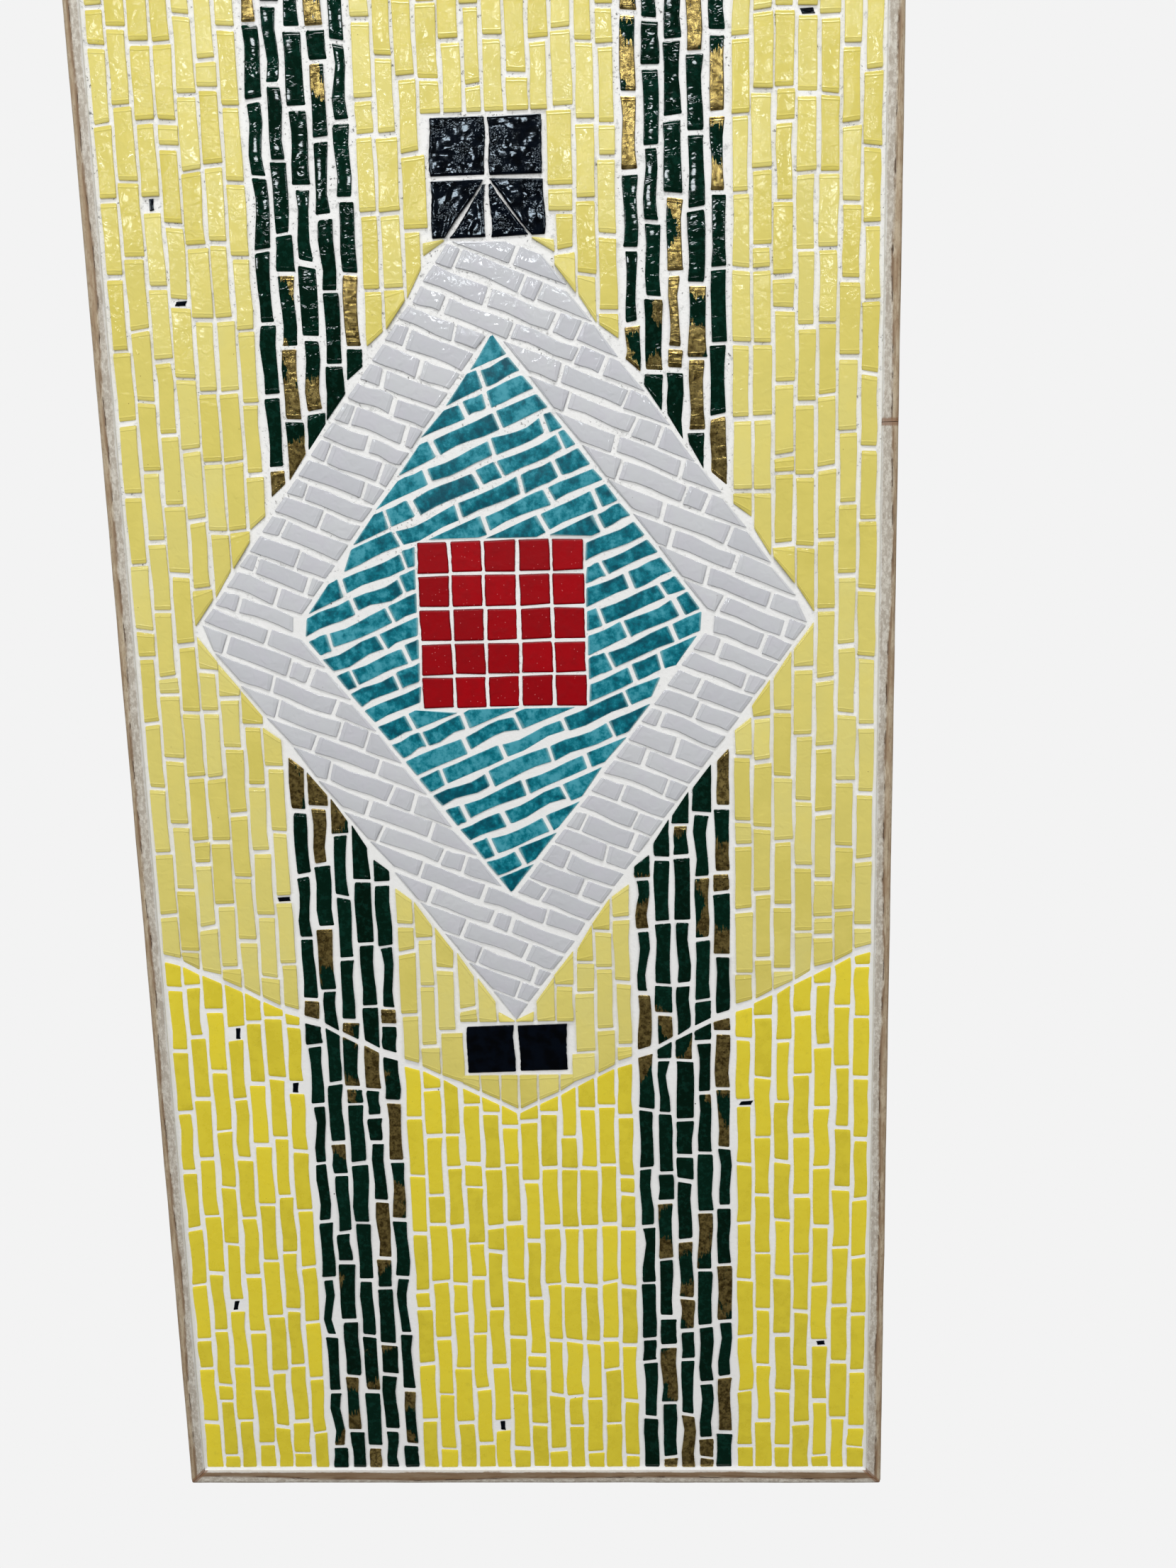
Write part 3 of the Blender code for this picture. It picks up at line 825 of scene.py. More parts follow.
class Surface:
    """A material in the making, and what its nodes can read of the piece."""

    def __init__(self, name):
        self.material = bpy.data.materials.new(name)
        self.material.use_nodes = True
        tree = self.material.node_tree
        tree.nodes.clear()
        self.graph = Graph(tree)
        self.place = self.graph.add("ShaderNodeTexCoord", {}, {}, "Object")
        self.flat = self.graph.vector(self.place.part(0), self.place.part(2))

    def number(self, name):
        """A number that the mesh carries."""
        return self.graph.add("ShaderNodeAttribute", {"attribute_name": name}, {}, "Fac")

    def vector(self, name):
        """A vector that the mesh carries."""
        return self.graph.add("ShaderNodeAttribute", {"attribute_name": name}, {}, "Vector")

    def tile(self):
        """A place in a tile's own clay: no pattern runs on from one tile to the next."""
        return self.place + self.graph.vector(self.number("seed") * 7.3, self.number("seed") * 3.1, 0.0)

    def bump(self, height, depth):
        """The normal of a relief, whose height runs from 0 to 1 and is so deep in all."""
        return self.graph.add("ShaderNodeBump", {}, {"Height": height, "Distance": depth, "Strength": 1.0})

    def hammered(self, clay, size, depth, fine=0.25, bead=0.0, calm=1.0, spared=0.46):
        """The normal of a glaze that dried over an uneven face, wrinkled in places.

        Fine is the share of small wrinkles in the relief, and calm the share of its waves that is left
        between the wrinkled places. The higher spared is, the fewer those are. A bead is the height of a
        ridge that runs near each pressed end.
        """
        graph = self.graph
        wrinkled = graph.noise(clay, size * 2.4, 1.0).over(spared, 0.22)
        waves = (graph.noise(clay, size, 1.0, 0.4, 0.6) - 0.5) * (wrinkled * (1 - calm) + calm)
        wrinkles = (graph.noise(clay, size * 0.14, 2.0) - 0.5) * wrinkled
        height = waves * (1 - fine) + wrinkles * fine
        if bead:
            wander = (graph.noise(clay, 0.006, 1.0) - 0.5) * 0.0008
            ridge = 1 - (self.number("from_end") + wander).away_from(BEAD_PLACE).over(0.00035, 0.0006)
            height = height + ridge * (bead / depth)
        return self.bump(height, depth)

    def finish(self, colour, roughness, normal, metal=None, constants=()):
        """The finished material. Constants are values of the shader's own sockets."""
        inputs = {"Base Color": colour, "Roughness": roughness, "Normal": normal, **dict(constants)}
        if metal is not None:
            inputs["Metallic"] = metal
        shader = self.graph.add("ShaderNodeBsdfPrincipled", {}, inputs)
        sink = self.graph.tree.nodes.new("ShaderNodeOutputMaterial")
        self.graph.tree.links.new(shader.socket, sink.inputs["Surface"])
        return self.material


def pale_yellow():
    """Two pale yellows with clouds, a little darker at the pressed ends and on the sides with painted shade.
    """
    surface = Surface("pale_yellow_glaze")
    graph, clay = surface.graph, surface.tile()
    tone, wall, from_end = surface.number("tone"), surface.number("wall"), surface.number("from_end")
    colour = graph.blend(tone, tint(220, 205, 104), tint(231, 219, 132))
    clouds = graph.noise(clay, 0.014, 3.0)
    colour = graph.blend(clouds.over(0.55, 0.4) * 0.45, colour, tint(235, 219, 120))
    # Painted shade: the glaze is darkened near both pressed ends
    painted_end_shade = (1 - from_end.over(0.0004, 0.0010)) * 0.14
    colour = graph.blend(painted_end_shade, colour, tint(150, 132, 62))
    # Painted shade: the tile's sides are darkened
    colour = graph.blend(wall * 0.8, colour, tint(104, 94, 50))
    pins = graph.specks(surface.flat, 0.0042, 0.00026, 0.1)
    colour = graph.blend(pins * 0.75, colour, tint(122, 92, 40))
    normal = surface.hammered(clay, 0.0042, 0.00034, fine=0.12, bead=0.00013, calm=0.5)
    return surface.finish(colour, 0.07 + clouds * 0.08, normal)


def deep_yellow():
    """Deep yellow with clouds, faint olive blotches and pinholes."""
    surface = Surface("deep_yellow_glaze")
    graph, clay = surface.graph, surface.tile()
    tone, wall = surface.number("tone"), surface.number("wall")
    colour = graph.blend(tone, tint(216, 198, 56), tint(240, 219, 60))
    clouds = graph.noise(clay, 0.009, 4.0, 0.6)
    colour = graph.blend(clouds.over(0.5, 0.3) * 0.5, colour, tint(236, 218, 66))
    olive = graph.noise(clay, 0.006, 5.0, 0.7)
    colour = graph.blend(olive.over(0.64, 0.14) * 0.2, colour, tint(176, 162, 44))
    pins = graph.specks(surface.flat, 0.0042, 0.00026, 0.14)
    colour = graph.blend(pins * 0.5, colour, tint(120, 104, 30))
    # Painted shade: the tile's sides are darkened
    colour = graph.blend(wall * 0.7, colour, tint(140, 122, 40))
    return surface.finish(colour, 0.22 + clouds * 0.12, surface.hammered(clay, 0.0045, 0.00022))


def dark_green():
    """Near-black green. Some tiles carry torn patches of gold lustre, and a few have it all over."""
    surface = Surface("dark_green_glaze")
    graph, clay = surface.graph, surface.tile()
    gilding, wall = surface.number("gilding"), surface.number("wall")
    colour = graph.blend(surface.number("tone"), (0.0006, 0.0085, 0.0040), (0.0010, 0.0150, 0.0080))
    blooms = graph.noise(clay, 0.0034, 4.0, 0.7).over(0.56, 0.2)
    colour = graph.blend(blooms * 0.3, colour, (0.008, 0.062, 0.042))
    # Lustre lies on some tiles in patches with torn, straight edges, and covers a few
    warp = graph.noise(clay, 0.004, 3.0) - 0.5
    strokes = graph.noise(clay / (0.0009, 0.0009, 0.006), 1.0, 2.0)
    frayed = graph.vector(warp * 0.005, 0.0, warp * 0.005 + (strokes - 0.5) * 0.016)
    torn = graph.cells(clay + frayed, 0.019).sibling("Color").part(1).over(0.46, 0.01)
    whole, some = gilding.over(0.94, 0.002), gilding.over(0.66, 0.002)
    patch = (torn * (1 - strokes.over(0.68, 0.02))).larger(whole) * some
    leaf = graph.noise(clay, 0.0030, 4.0, 0.7)
    lustre = graph.blend(leaf.over(0.5, 0.3), tint(116, 95, 48), tint(218, 190, 116))
    flecks = graph.noise(clay, 0.0011, 2.0, 0.6).over(0.62, 0.05)
    lustre = graph.blend(flecks * 0.8, lustre, tint(58, 42, 24))
    colour = graph.blend(patch, colour, lustre)
    # Painted shade: the tile's sides are darkened where there is no lustre
    colour = graph.blend(wall * (1 - patch) * 0.5, colour, (0.002, 0.006, 0.004))
    roughness = graph.add("ShaderNodeMix", {"data_type": "FLOAT"}, {0: patch, 2: 0.05, 3: 0.26})
    # The glaze's ripples run across the strips
    rippled = clay / (1.5, 1.0, 0.66)
    normal = surface.hammered(rippled, 0.0048, 0.00056, fine=0.0, bead=0.00010, calm=0.10, spared=0.57)
    return surface.finish(colour, roughness, normal, patch * 0.85, {"Specular IOR Level": 0.38})


def teal():
    """Blotched from deep teal to pale blue, with a milky rim."""
    surface = Surface("teal_glaze")
    graph, clay = surface.graph, surface.tile()
    tone, wall = surface.number("tone"), surface.number("wall")
    from_end, from_side = surface.number("from_end"), surface.number("from_side")
    wash = graph.noise(clay, 0.0062, 6.0, 0.72) * 0.75 + graph.noise(clay, 0.02, 2.0) * 0.25
    wash = wash + (tone - 0.5) * 0.12
    colour = graph.blend(wash.over(0.46, 0.2), tint(0, 76, 92), tint(4, 124, 140))
    colour = graph.blend(wash.over(0.56, 0.16) * 0.75, colour, tint(84, 170, 186))
    frayed = (graph.noise(clay, 0.002, 2.0) - 0.5) * 0.0006
    halo = (1 - (from_end + frayed).over(0.0008, 0.0016)) * 0.7
    halo = halo.larger((1 - (from_side + frayed).over(0.0003, 0.0007)) * 0.4)
    colour = graph.blend(halo, colour, tint(150, 192, 196))
    colour = graph.blend(wall * 0.6, colour, tint(70, 120, 128))
    return surface.finish(colour, 0.34 + wash * 0.12, surface.hammered(clay, 0.0060, 0.00018))


def white():
    """White, with faintly lilac clouds, a greyer rim and a few pinholes."""
    surface = Surface("white_glaze")
    graph, clay = surface.graph, surface.tile()
    tone, wall = surface.number("tone"), surface.number("wall")
    colour = graph.blend(tone, tint(202, 203, 207), tint(211, 212, 214))
    clouds = graph.noise(clay, 0.012, 3.0)
    colour = graph.blend(clouds.over(0.55, 0.3) * 0.4, colour, tint(207, 204, 212))
    pins = graph.specks(surface.flat, 0.006, 0.0003, 0.12)
    colour = graph.blend(pins * 0.5, colour, tint(128, 116, 108))
    rim = surface.number("from_end").smaller(surface.number("from_side"))
    colour = graph.blend((1 - rim.over(0.0003, 0.0006)) * 0.3, colour, tint(160, 162, 168))
    # Painted shade: the tile's sides are darkened
    colour = graph.blend(wall * 0.6, colour, tint(160, 160, 162))
    normal = surface.hammered(clay, 0.0046, 0.00036, fine=0.07, bead=0.00010, calm=0.6)
    return surface.finish(colour, 0.05 + clouds * 0.04, normal)


def red():
    """Deep red with a darker rim and pale specks."""
    surface = Surface("red_glaze")
    graph, clay = surface.graph, surface.tile()
    tone, wall = surface.number("tone"), surface.number("wall")
    colour = graph.blend(tone, tint(148, 0, 10), tint(168, 0, 13))
    clouds = graph.noise(clay, 0.005, 4.0, 0.6)
    colour = graph.blend(clouds.over(0.55, 0.3) * 0.35, colour, tint(134, 0, 10))
    rim = surface.number("from_end").smaller(surface.number("from_side"))
    rim = rim + (graph.noise(clay, 0.003, 2.0) - 0.5) * 0.0008
    colour = graph.blend((1 - rim.over(0.0006, 0.0010)) * 0.7, colour, tint(76, 0, 6))
    specks = graph.specks(surface.flat, 0.0020, 0.00026, 0.3)
    colour = graph.blend(specks * 0.7, colour, tint(222, 124, 126))
    # Painted shade: the tile's sides are darkened
    colour = graph.blend(wall * 0.8, colour, tint(70, 6, 10))
    return surface.finish(colour, 0.3 + clouds * 0.12, surface.hammered(clay, 0.0050, 0.00016))


def black():
    """Blue-black and glassy, wrinkled in some places and calm in others."""
    surface = Surface("black_glaze")
    graph, clay = surface.graph, surface.tile()
    clouds = graph.noise(clay, 0.006, 3.0)
    colour = graph.blend(clouds.over(0.5, 0.3), (0.0006, 0.0009, 0.0018), (0.0014, 0.0028, 0.0062))
    rough = graph.noise(clay / (0.014, 1.0, 0.010), 1.0, 1.0).over(0.58, 0.22)
    waves = (graph.noise(clay / (0.0068, 1.0, 0.0030), 1.0, 1.0) - 0.5) * (rough * 0.92 + 0.08)
    sparkle = (graph.noise(clay / (0.0018, 1.0, 0.0012), 1.0, 1.0) - 0.5) * (rough * 0.90 + 0.10)
    normal = surface.bump(waves * 0.76 + sparkle * 0.24, 0.00066)
    bluish = {"Specular Tint": (0.80, 0.91, 1.0), "Specular IOR Level": 0.36}
    return surface.finish(colour, 0.07, normal, constants=bluish)


def grout():
    """White and sandy, with most of its pits and dirt in the upper half."""
    surface = Surface("white_grout")
    graph, place = surface.graph, surface.place
    sand = graph.noise(place, 0.0007, 3.0, 0.7)
    clouds = graph.noise(place, 0.03, 4.0)
    # The upper half was wiped less, and holds more dirt
    worked = (place.part(2) + (clouds - 0.5) * 0.5).over(0.10, 0.35)
    colour = graph.blend(clouds, tint(241, 240, 238), tint(250, 249, 246))
    dirt = graph.noise(place, 0.0042, 6.0, 0.8).over(0.60, 0.14) * (0.08 + worked * 0.62)
    colour = graph.blend(dirt, colour, tint(178, 178, 176))
    spoiled = graph.noise(place, 0.012, 2.0).over(0.5, 0.2)
    pits = graph.noise(place, 0.0020, 3.0, 0.75).over(0.63, 0.03) * spoiled * (0.04 + worked * 0.96)
    colour = graph.blend(pits * 0.85, colour, tint(104, 102, 100))
    soot = graph.specks(surface.flat, 0.010, 0.00045, 0.08)
    colour = graph.blend(soot * 0.9, colour, tint(46, 38, 32))
    height = sand * 0.30 + graph.noise(place, 0.0026, 3.0, 0.6) * 0.7 - pits * 0.8
    return surface.finish(colour, 0.78 + sand * 0.12, surface.bump(height, 0.00035))


def limed_wood():
    """Worn wood, limed on one side of the planed arris and bare on the other."""
    surface = Surface("limed_wood")
    graph, grain = surface.graph, surface.vector("grain")
    seed = surface.number("seed")
    out, along = grain.part(0), grain.part(2)
    shifted = grain + graph.vector(0.0, 0.0, seed * 5.0)
    fibres = graph.noise(shifted / (0.0006, 0.0006, 0.026), 1.0, 4.0, 0.65)
    mottle = graph.noise(shifted / (0.0016, 0.0016, 0.0030), 1.0, 4.0, 0.75)
    blotches = graph.noise(shifted / (0.004, 0.004, 0.024), 1.0, 4.0, 0.6)
    # The strip was planed by hand: its arris wanders over the face, brown outside and limed inside,
    # but for the bottom strip, which is turned round and browner
    ragged = (blotches - 0.5) * 0.0024 + (mottle - 0.5) * 0.0012
    arris = 0.0054 + (graph.noise(graph.vector(0.0, 0.0, along / 0.16 + seed * 40), 1.0, 1.0) - 0.5) * 0.0095
    turned = seed.over(0.7, 0.01)
    from_arris = (out + ragged - arris) * (1 - turned * 2)
    bare = from_arris.over(0.0, 0.0026)
    limed = graph.blend(mottle.over(0.48, 0.2), tint(214, 208, 196), tint(180, 170, 156))
    wood = graph.blend(blotches.over(0.5, 0.3), tint(194, 178, 152), tint(164, 140, 112))
    wood = graph.blend((mottle.over(0.58, 0.2) * 0.5).larger(turned * 0.75), wood, tint(126, 100, 74))
    colour = graph.blend(bare, limed, wood)
    colour = graph.blend(fibres.over(0.6, 0.1) * (0.15 + bare * 0.35), colour, tint(106, 84, 62))
    stain = (1 - from_arris.away_from(0.0006).over(0.0007, 0.0012)) * blotches.over(0.46, 0.14)
    colour = graph.blend(stain * 0.65, colour, tint(112, 82, 54))
    # Grout smeared on the inner edge, and dark cracks along the arris
    smear = 1 - (out + ragged).over(0.0010, 0.0010)
    colour = graph.blend(smear * 0.75, colour, tint(226, 224, 219))
    split = 1 - from_arris.away_from(0.0001).over(0.00020, 0.0002)
    lengths = graph.noise(graph.vector(0.0, 0.0, along / 0.021 + seed * 11), 1.0, 2.0)
    crack = split * (1 - lengths.over(0.47, 0.06))
    colour = graph.blend(crack * 0.8, colour, tint(70, 50, 36))
    joint = surface.number("from_joint") + (fibres - 0.5) * 0.002
    colour = graph.blend((1 - joint.over(0.0020, 0.0012)) * 0.75, colour, tint(136, 98, 70))
    height = fibres * 0.45 + mottle * 0.35 + blotches * 0.2 - crack
    return surface.finish(colour, 0.66 + fibres * 0.2, surface.bump(height, 0.0004))


def plywood():
    """The face veneer of the board."""
    surface = Surface("plywood")
    graph, place = surface.graph, surface.place
    warped = place + graph.vector((graph.noise(place / (0.09, 1.0, 0.4), 1.0, 2.0) - 0.5) * 0.05, 0.0, 0.0)
    rings = graph.noise(warped / (0.009, 1.0, 0.5), 1.0, 3.0, 0.6)
    fibres = graph.noise(place / (0.0007, 1.0, 0.02), 1.0, 3.0)
    colour = graph.blend(rings.over(0.5, 0.3), tint(206, 176, 130), tint(180, 142, 96))
    colour = graph.blend(fibres.over(0.55, 0.15) * 0.35, colour, tint(146, 110, 72))
    return surface.finish(colour, 0.6 + fibres * 0.15, surface.bump(fibres, 0.0002))


# The habits of the hand, area by area. Joint, wander, taper, bow, curve and wave are lengths in the plane of
# the panel, lean, pitch and level are depths, and odd lengths and splinters are chances
PALE_HABITS = {
    "joint": 0.0007, "wander": 0.0011, "steepest": 2.7, "odd_lengths": 0.08, "splinters": 0.012,
    "taper": 0.0008, "bow": 0.0004, "curve": 0.0003, "wave": 0.0003,
    "lean": 0.0004, "pitch": 0.0010, "level": 0.0003,
}
DEEP_HABITS = {
    **PALE_HABITS, "joint": 0.0009, "splinters": 0.04, "bow": 0.0007, "curve": 0.0007, "wave": 0.0006,
    "lean": 0.0002, "pitch": 0.0003, "level": -0.0003,
}
GREEN_HABITS = {
    **PALE_HABITS, "joint": 0.0013, "odd_lengths": 0.14, "splinters": 0.0,
    "taper": 0.0012, "bow": 0.0010, "curve": 0.0008, "wave": 0.0009, "pitch": 0.0006, "level": -0.0001,
}
TEAL_HABITS = {
    **PALE_HABITS, "joint": 0.0013, "wander": 0.0008, "odd_lengths": 0.12, "splinters": 0.0,
    "taper": 0.0011, "bow": 0.0011, "curve": 0.0011, "wave": 0.0010,
    "lean": 0.0002, "pitch": 0.0003, "level": -0.0004,
}
WHITE_HABITS = {
    **TEAL_HABITS, "joint": 0.0010, "bow": 0.0009, "curve": 0.0009, "wave": 0.0008,
    "pitch": 0.0006, "level": -0.0001,
}
SPLINTER_HABITS = {"lean": 0.0, "pitch": 0.0, "level": -0.0004}
RED_HABITS = {"lean": 0.0002, "pitch": 0.0002, "level": -0.0004, "jitter": 0.0006, "bend": 0.0003}
BLACK_HABITS = {"lean": 0.0004, "pitch": 0.0004, "level": 0.0001, "jitter": 0.0009, "bend": 0.0008}

# The sizes of a tile's body, finish by finish
PALE_BODY = {
    "End Border": 0.0020, "End Slope": 0.00010, "End Round": 0.00020, "Side Border": 0.0007,
    "Side Round": 0.00022, "Corner Radius": 0.0005, "Crown": 0.00004, "Ripple Height": 0.00022,
    "Ripple Size": 0.0090, "Raggedness": 0.0008,
}
DEEP_BODY = {
    **PALE_BODY, "End Slope": 0.00008, "End Round": 0.00018, "Side Round": 0.00018, "Corner Radius": 0.0008,
}
GREEN_BODY = {
    **PALE_BODY, "End Slope": 0.00014, "End Round": 0.00022, "Corner Radius": 0.0008, "Raggedness": 0.0013,
}
TEAL_BODY = {**DEEP_BODY, "End Slope": 0.0, "End Round": 0.00015, "Side Round": 0.00015}
WHITE_BODY = {
    **PALE_BODY, "End Slope": 0.00012, "End Round": 0.00022, "Side Border": 0.0005, "Crown": 0.00002,
    "Ripple Height": 0.00026,
}
SQUARE_BODY = {
    **PALE_BODY, "End Border": 0.0014, "End Slope": 0.0, "End Round": 0.00025, "Side Border": 0.0014,
    "Side Round": 0.00025, "Crown": 0.0, "Ripple Height": 0.00015, "Raggedness": 0.0011,
}
BLACK_BODY = {**SQUARE_BODY, "Ripple Height": 0.0006, "Ripple Size": 0.0060, "Raggedness": 0.0013}
SPLINTER_BODY = {
    **SQUARE_BODY, "End Border": 0.0006, "End Round": 0.00008, "Side Border": 0.0006, "Side Round": 0.00008,
    "Corner Radius": 0.0004, "Ripple Height": 0.0001, "Raggedness": 0.0003,
}


class TileMaker:
    """Makes bodies of laid tiles, in glazes that are named as their slots are."""

    def __init__(self):
        self.tree = tile_tree()
        self.templates = []
        strip_across = border_grid(SIDE_STEPS, middle_rows=1)
        strip_along = border_grid(END_STEPS, middle_rows=4)
        even = border_grid(SIDE_STEPS, middle_rows=6)
        fine = border_grid(SIDE_STEPS, middle_rows=20)
        self.strip = self.template("strip", strip_across, strip_along)
        self.square = self.template("square", even, even)
        self.hammered = self.template("hammered", fine, fine)
        self.glazes = {
            "pale_yellow_glaze": pale_yellow(), "deep_yellow_glaze": deep_yellow(),
            "dark_green_glaze": dark_green(), "teal_glaze": teal(), "white_glaze": white(),
            "red_glaze": red(), "black_glaze": black(),
        }

    def template(self, name, across_steps, along_steps):
        """The unit slab that a tree copies for each tile of a kind."""
        template = link(bpy.data.objects.new(name + "_template", slab_mesh(name, across_steps, along_steps)))
        self.templates.append(template)
        return template

    def make(self, name, tiles, template, slot, body, nodes):
        """One piece for a set of tiles, in place of their solids."""
        values = {**body, "Template": template, "Material": self.glazes[slot]}
        values["Face Depth"] = TILE_FACE_DEPTH
        values["Back Depth"] = GROUT_FACE_DEPTH - TILE_ROOT
        piece = bake(name, tile_points(name + "_points", tiles), self.tree, values)
        for label in TILE_CORNERS + TILE_HABITS:
            piece.data.attributes.remove(piece.data.attributes[label])
        keep(piece, nodes, TILE_EDGE_ANGLE)

    def clear(self):
        """Takes the templates away once all tiles are made."""
        for template in self.templates:
            bpy.data.objects.remove(template)


def square_tiles(nodes, seed, habits):
    """Square tiles over small solids, each a little out of true."""
    dice = random.Random(seed)
    tiles = []
    for node in nodes:
        corners = four_corners(outline_loops(node)[0])
        middle = sum(corners, Vector((0, 0))) / 4
        shaken = []
        for corner in corners:
            inward = (middle - corner).normalized()
            sideways = Vector((-inward.y, inward.x))
            shift = inward * dice.uniform(-0.8, 0.7) + sideways * dice.uniform(-0.7, 0.7)
            shaken.append(corner + shift * habits["jitter"])
        turns = [dice.uniform(-0.6, 1.0) * habits["bend"] for _ in range(2)]
        turns += [dice.uniform(-0.7, 0.7) * habits["bend"] for _ in range(2)]
        tiles.append(one_tile(shaken, dice, habits, turns))
    return tiles


def make_areas(maker):
    """Every coloured area in courses. Gives the splinters between the yellow tiles."""
    upright, middle = math.pi / 2, Vector((0, 0))
    pale = ("pale_yellow_glaze", PALE_HABITS, PALE_BODY)
    deep = ("deep_yellow_glaze", DEEP_HABITS, DEEP_BODY)
    green = ("dark_green_glaze", GREEN_HABITS, GREEN_BODY)
    areas = []
    for place in ("left", "right", "middle_upper", "middle_lower"):
        areas.append((f"pale_yellow_tiles_{place}", f"pale_yellow_tesserae_{place}", *pale))
    for place in ("left", "right", "middle"):
        areas.append((f"deep_yellow_tiles_{place}", f"deep_yellow_tesserae_{place}", *deep))
    for place in ("upper_left", "upper_right", "middle_left", "middle_right", "lower_left", "lower_right"):
        areas.append((f"green_tiles_{place}", f"green_stripe_{place}", *green))
    splinters = []
    for number, (name, node, slot, habits, body) in enumerate(areas):
        tiler = Tiler(node, upright, COURSE_PITCH, middle, SEED + number, habits).lay()
        splinters += tiler.splinters
        maker.make(name, tiler.tiles, maker.strip, slot, body, [node])
    return splinters


def make_lozenge(maker):
    """The two areas in slanted courses, laid from the lozenge's middle."""
    middle = Vector((0, (LOZENGE_LOW.z + LOZENGE_HIGH.z) / 2))
    tiler = Tiler("teal_lozenge", TEAL_SLANT, SLANTED_PITCH, middle, TEAL_SEED, TEAL_HABITS).lay()
    maker.make("teal_tiles", tiler.tiles, maker.strip, "teal_glaze", TEAL_BODY, ["teal_lozenge"])
    tiler = Tiler("white_lozenge_border", WHITE_SLANT, SLANTED_PITCH, middle, WHITE_SEED, WHITE_HABITS).lay()
    maker.make("white_tiles", tiler.tiles, maker.strip, "white_glaze", WHITE_BODY, ["white_lozenge_border"])


def make_squares(maker):
    """The red block, and the black squares and cut pieces over and under the lozenge."""
    red_nodes = sorted(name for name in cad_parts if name.startswith("red_square"))
    black_nodes = sorted(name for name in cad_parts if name.startswith("black_"))
    red_tiles = square_tiles(red_nodes, RED_SEED, RED_HABITS)
    maker.make("red_squares", red_tiles, maker.square, "red_glaze", SQUARE_BODY, red_nodes)
    black_tiles = square_tiles(black_nodes, BLACK_SEED, BLACK_HABITS)
    maker.make("black_squares", black_tiles, maker.hammered, "black_glaze", BLACK_BODY, black_nodes)


def edged_steps(near_edge, count):
    """Steps from 0 to 1: even ones over the whole, and closer ones near both ends."""
    even = [step / count for step in range(1, count)]
    return list(near_edge) + even + [1 - step for step in reversed(near_edge)]


def make_grout():
    """The bed that every tile sits in."""
    width_over_height = 0.42
    near_stile = (0.0, 0.0008, 0.0018, 0.003, 0.0045)
    near_rail = [step * width_over_height for step in near_stile]
    slab = slab_mesh("grout_slab", edged_steps(near_stile, count=166), edged_steps(near_rail, count=402))
    under_frame = 0.0004
    below_solid = 0.00005
    values = {
        "Left": FIELD_LOW.x - under_frame, "Right": FIELD_HIGH.x + under_frame,
        "Bottom": FIELD_LOW.z - under_frame, "Top": FIELD_HIGH.z + under_frame,
        "Face Depth": GROUT_FACE_DEPTH - below_solid, "Back Depth": GROUT_BACK_DEPTH,
        "Unevenness": 0.00036, "Fillet Width": 0.0030, "Fillet Height": 0.0013, "Material": grout(),
    }
    keep(bake("grout", slab, grout_tree(), values), ["grout_bed"], GROUT_EDGE_ANGLE)


def make_frame():
    """The five strips of limed wood around the panel."""
    tree, wood = strip_tree(), limed_wood()
    width, depth = STILE_HIGH.x - STILE_LOW.x, -STILE_LOW.y
    face_edge, inner_edge, row_length = 0.0026, 0.0012, 0.006
    left, right, top, bottom = (-1, 0, 0), (1, 0, 0), (0, 0, 1), (0, 0, -1)
    strips = {
        "frame_left": (left, top, FIELD_RIGHT, 1.0, 1.0),
        "frame_right_lower": (right, top, FIELD_RIGHT, 1.0, 0.0),
        "frame_right_upper": (right, top, FIELD_RIGHT, 0.0, 1.0),
        "frame_top": (top, right, FIELD_TOP, 1.0, 1.0),
        "frame_bottom": (bottom, right, FIELD_TOP, 1.0, 1.0),
    }
    for number, (node, (outwards, along, offset, start_mitre, end_mitre)) in enumerate(strips.items()):
        low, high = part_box(node)
        start, end = Vector(along).dot(low), Vector(along).dot(high)
        length = end - start
        rows = round(length / row_length)
        steps = [row / rows for row in range(rows + 1)]
        # Close rows near the ends, where the corners are worn round
        close_steps = [distance / length for distance in (0.0008, 0.0016, 0.0024, 0.0032)]
        steps = sorted(steps + close_steps + [1 - step for step in close_steps])
        values = {
            "Material": wood, "Inner Edge": tuple(Vector(outwards) * offset), "Outward": outwards,
            "Along": along, "Start": start, "End": end, "Start Mitre": start_mitre, "End Mitre": end_mitre,
            "Width": width, "Seed": number / len(strips), "Unevenness": 0.0006, "Corner Radius": 0.0034,
        }
        prism = rounded_prism(node + "_prism", width, depth, face_edge, inner_edge, steps)
        piece = bake(node.replace("frame", "wood_strip"), prism, tree, values)
        keep(piece, [node], WOOD_EDGE_ANGLE)


def paint_board():
    """The plywood back keeps its solid."""
    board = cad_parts["backing_board"]
    board.data.materials.clear()
    board.data.materials.append(plywood())


# Stage, camera and light

# The photograph's own place and view, worked out from how the frame's edges lie in it
CAMERA_PLACE = (0.0707, -0.7119, 0.0468)
CAMERA_RIGHT = (0.9993, 0.0290, -0.0243)
CAMERA_UP = (0.0194, 0.1607, 0.9868)
CAMERA_FORWARD = (-0.0325, 0.9866, -0.1600)
CAMERA_LENS = 27.03
CAMERA_SENSOR = 36

DAYLIGHT = (0.90, 0.96, 1.0)
PAPER = (243, 243, 243)

# Soft boxes: place, target, size, radiance, and whether the glazes mirror them
LAMPS = {
    "front_top": ((-0.2, -2.2, 1.5), (0, 0, -0.1), (1.4, 0.6), 5.6, False),
    "side_left": ((-2.2, -1.6, -0.3), (0, 0, -0.25), (1.4, 2.2), 2.65, False),
    "side_right": ((2.2, -1.6, -0.3), (0, 0, -0.25), (1.4, 2.2), 2.65, False),
    "overhead": ((0.0, -1.1, 2.4), (0, 0, 0), (1.4, 0.5), 17.0, True),
    "back": ((0.0, 3.0, 1.2), (0, 0, 0), (3.0, 2.0), 2.4, False),
}


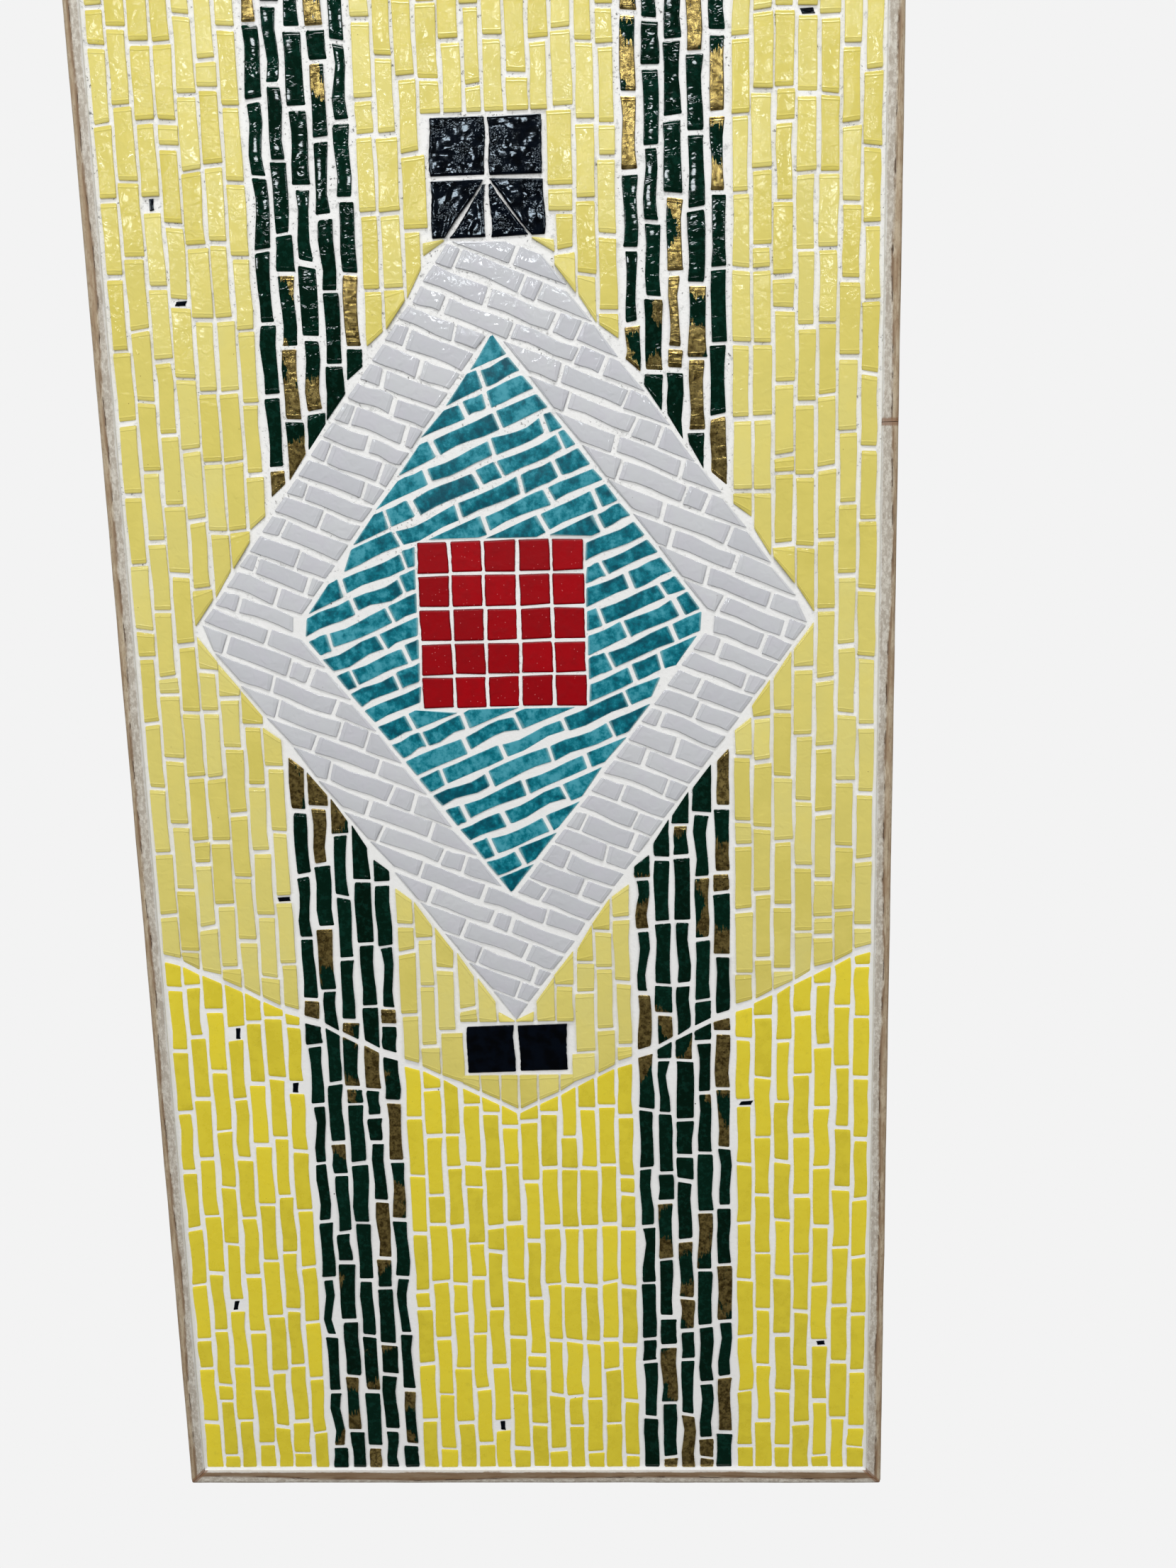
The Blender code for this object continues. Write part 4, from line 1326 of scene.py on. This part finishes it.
def add_camera():
    """The camera stands where the photograph was taken from."""
    data = bpy.data.cameras.new("camera")
    data.lens = CAMERA_LENS
    data.sensor_width = CAMERA_SENSOR
    camera = link(bpy.data.objects.new("camera", data))
    axes = (Vector(CAMERA_RIGHT), Vector(CAMERA_UP), -Vector(CAMERA_FORWARD))
    camera.matrix_world = Matrix.Translation(CAMERA_PLACE) @ Matrix(axes).transposed().to_4x4()
    bpy.context.scene.camera = camera


def backdrop_mesh():
    """A round floor that turns up into a wall."""
    shape = bmesh.new()
    floor = FIELD_LOW.z - 0.35
    radius, height, sides = 5.0, 14.0, 96
    profile = ((radius - 0.8, 0.0), (radius - 0.3, 0.15), (radius, 0.7), (radius, height))
    rings = []
    for ring_radius, ring_height in profile:
        angles = [math.tau * side / sides for side in range(sides)]
        places = [(ring_radius * math.cos(angle), ring_radius * math.sin(angle)) for angle in angles]
        rings.append([shape.verts.new((*place, floor + ring_height)) for place in places])
    shape.faces.new(rings[0])
    for ring, following in zip(rings, rings[1:]):
        for side in range(sides):
            shape.faces.new((ring[side - 1], following[side - 1], following[side], ring[side]))
    return plain_mesh("backdrop", shape)


def add_backdrop():
    """Pale paper all around. Only the camera sees it, so it leaves the glazes dark."""
    backdrop = link(bpy.data.objects.new("backdrop", backdrop_mesh()))
    material = bpy.data.materials.new("backdrop_paper")
    material.use_nodes = True
    shader = material.node_tree.nodes["Principled BSDF"]
    shader.inputs["Base Color"].default_value = (0.0, 0.0, 0.0, 1.0)
    shader.inputs["Specular IOR Level"].default_value = 0.0
    shader.inputs["Emission Color"].default_value = (*tint(*PAPER), 1.0)
    shader.inputs["Emission Strength"].default_value = 1.0
    backdrop.data.materials.append(material)
    for kind in ("diffuse", "glossy", "transmission", "volume_scatter", "shadow"):
        setattr(backdrop, "visible_" + kind, False)


def add_lamp(name, place, target, size, radiance, mirrored, colour=(1.0, 1.0, 1.0)):
    """A soft box of a given brightness, which shows in the glazes or not."""
    data = bpy.data.lights.new(name, "AREA")
    data.shape = "RECTANGLE"
    data.size, data.size_y = size
    data.energy = radiance * size[0] * size[1] * math.pi
    data.color = colour
    lamp = link(bpy.data.objects.new(name, data))
    lamp.location = place
    lamp.rotation_euler = (Vector(target) - lamp.location).to_track_quat("-Z", "Y").to_euler()
    lamp.visible_glossy = mirrored


def add_light():
    """A barred window above and behind the camera, soft boxes at the sides and overhead, and a dim room."""
    pane, pane_radiance = (0.10, 0.10), 25.0
    window_left, window_foot, window_distance = -1.02, 0.88, 2.0
    column_step, column_lift, row_step, row_shift = 0.39, 0.05, 0.34, 0.08
    for column in range(5):
        for row in range(2):
            across = window_left + column_step * column + row_shift * row
            height = window_foot + row_step * row + column_lift * (column % 2)
            place, target = (across, -window_distance, height), (across * 0.6, 0.0, height - 0.45)
            add_lamp(f"window_{column}_{row}", place, target, pane, pane_radiance, True, DAYLIGHT)
    for name, lamp in LAMPS.items():
        add_lamp(name, *lamp)
    world = bpy.data.worlds.new("room")
    world.use_nodes = True
    background = world.node_tree.nodes["Background"]
    background.inputs["Color"].default_value = (1.0, 1.0, 1.0, 1.0)
    background.inputs["Strength"].default_value = 0.04
    bpy.context.scene.world = world
    bpy.context.scene.view_settings.view_transform = "Standard"


add_camera()
tile_maker = TileMaker()
dark_splinters = make_areas(tile_maker)
make_lozenge(tile_maker)
make_squares(tile_maker)
tile_maker.make("black_splinters", dark_splinters, tile_maker.square, "black_glaze", SPLINTER_BODY, [])
tile_maker.clear()
make_grout()
make_frame()
paint_board()
add_backdrop()
add_light()
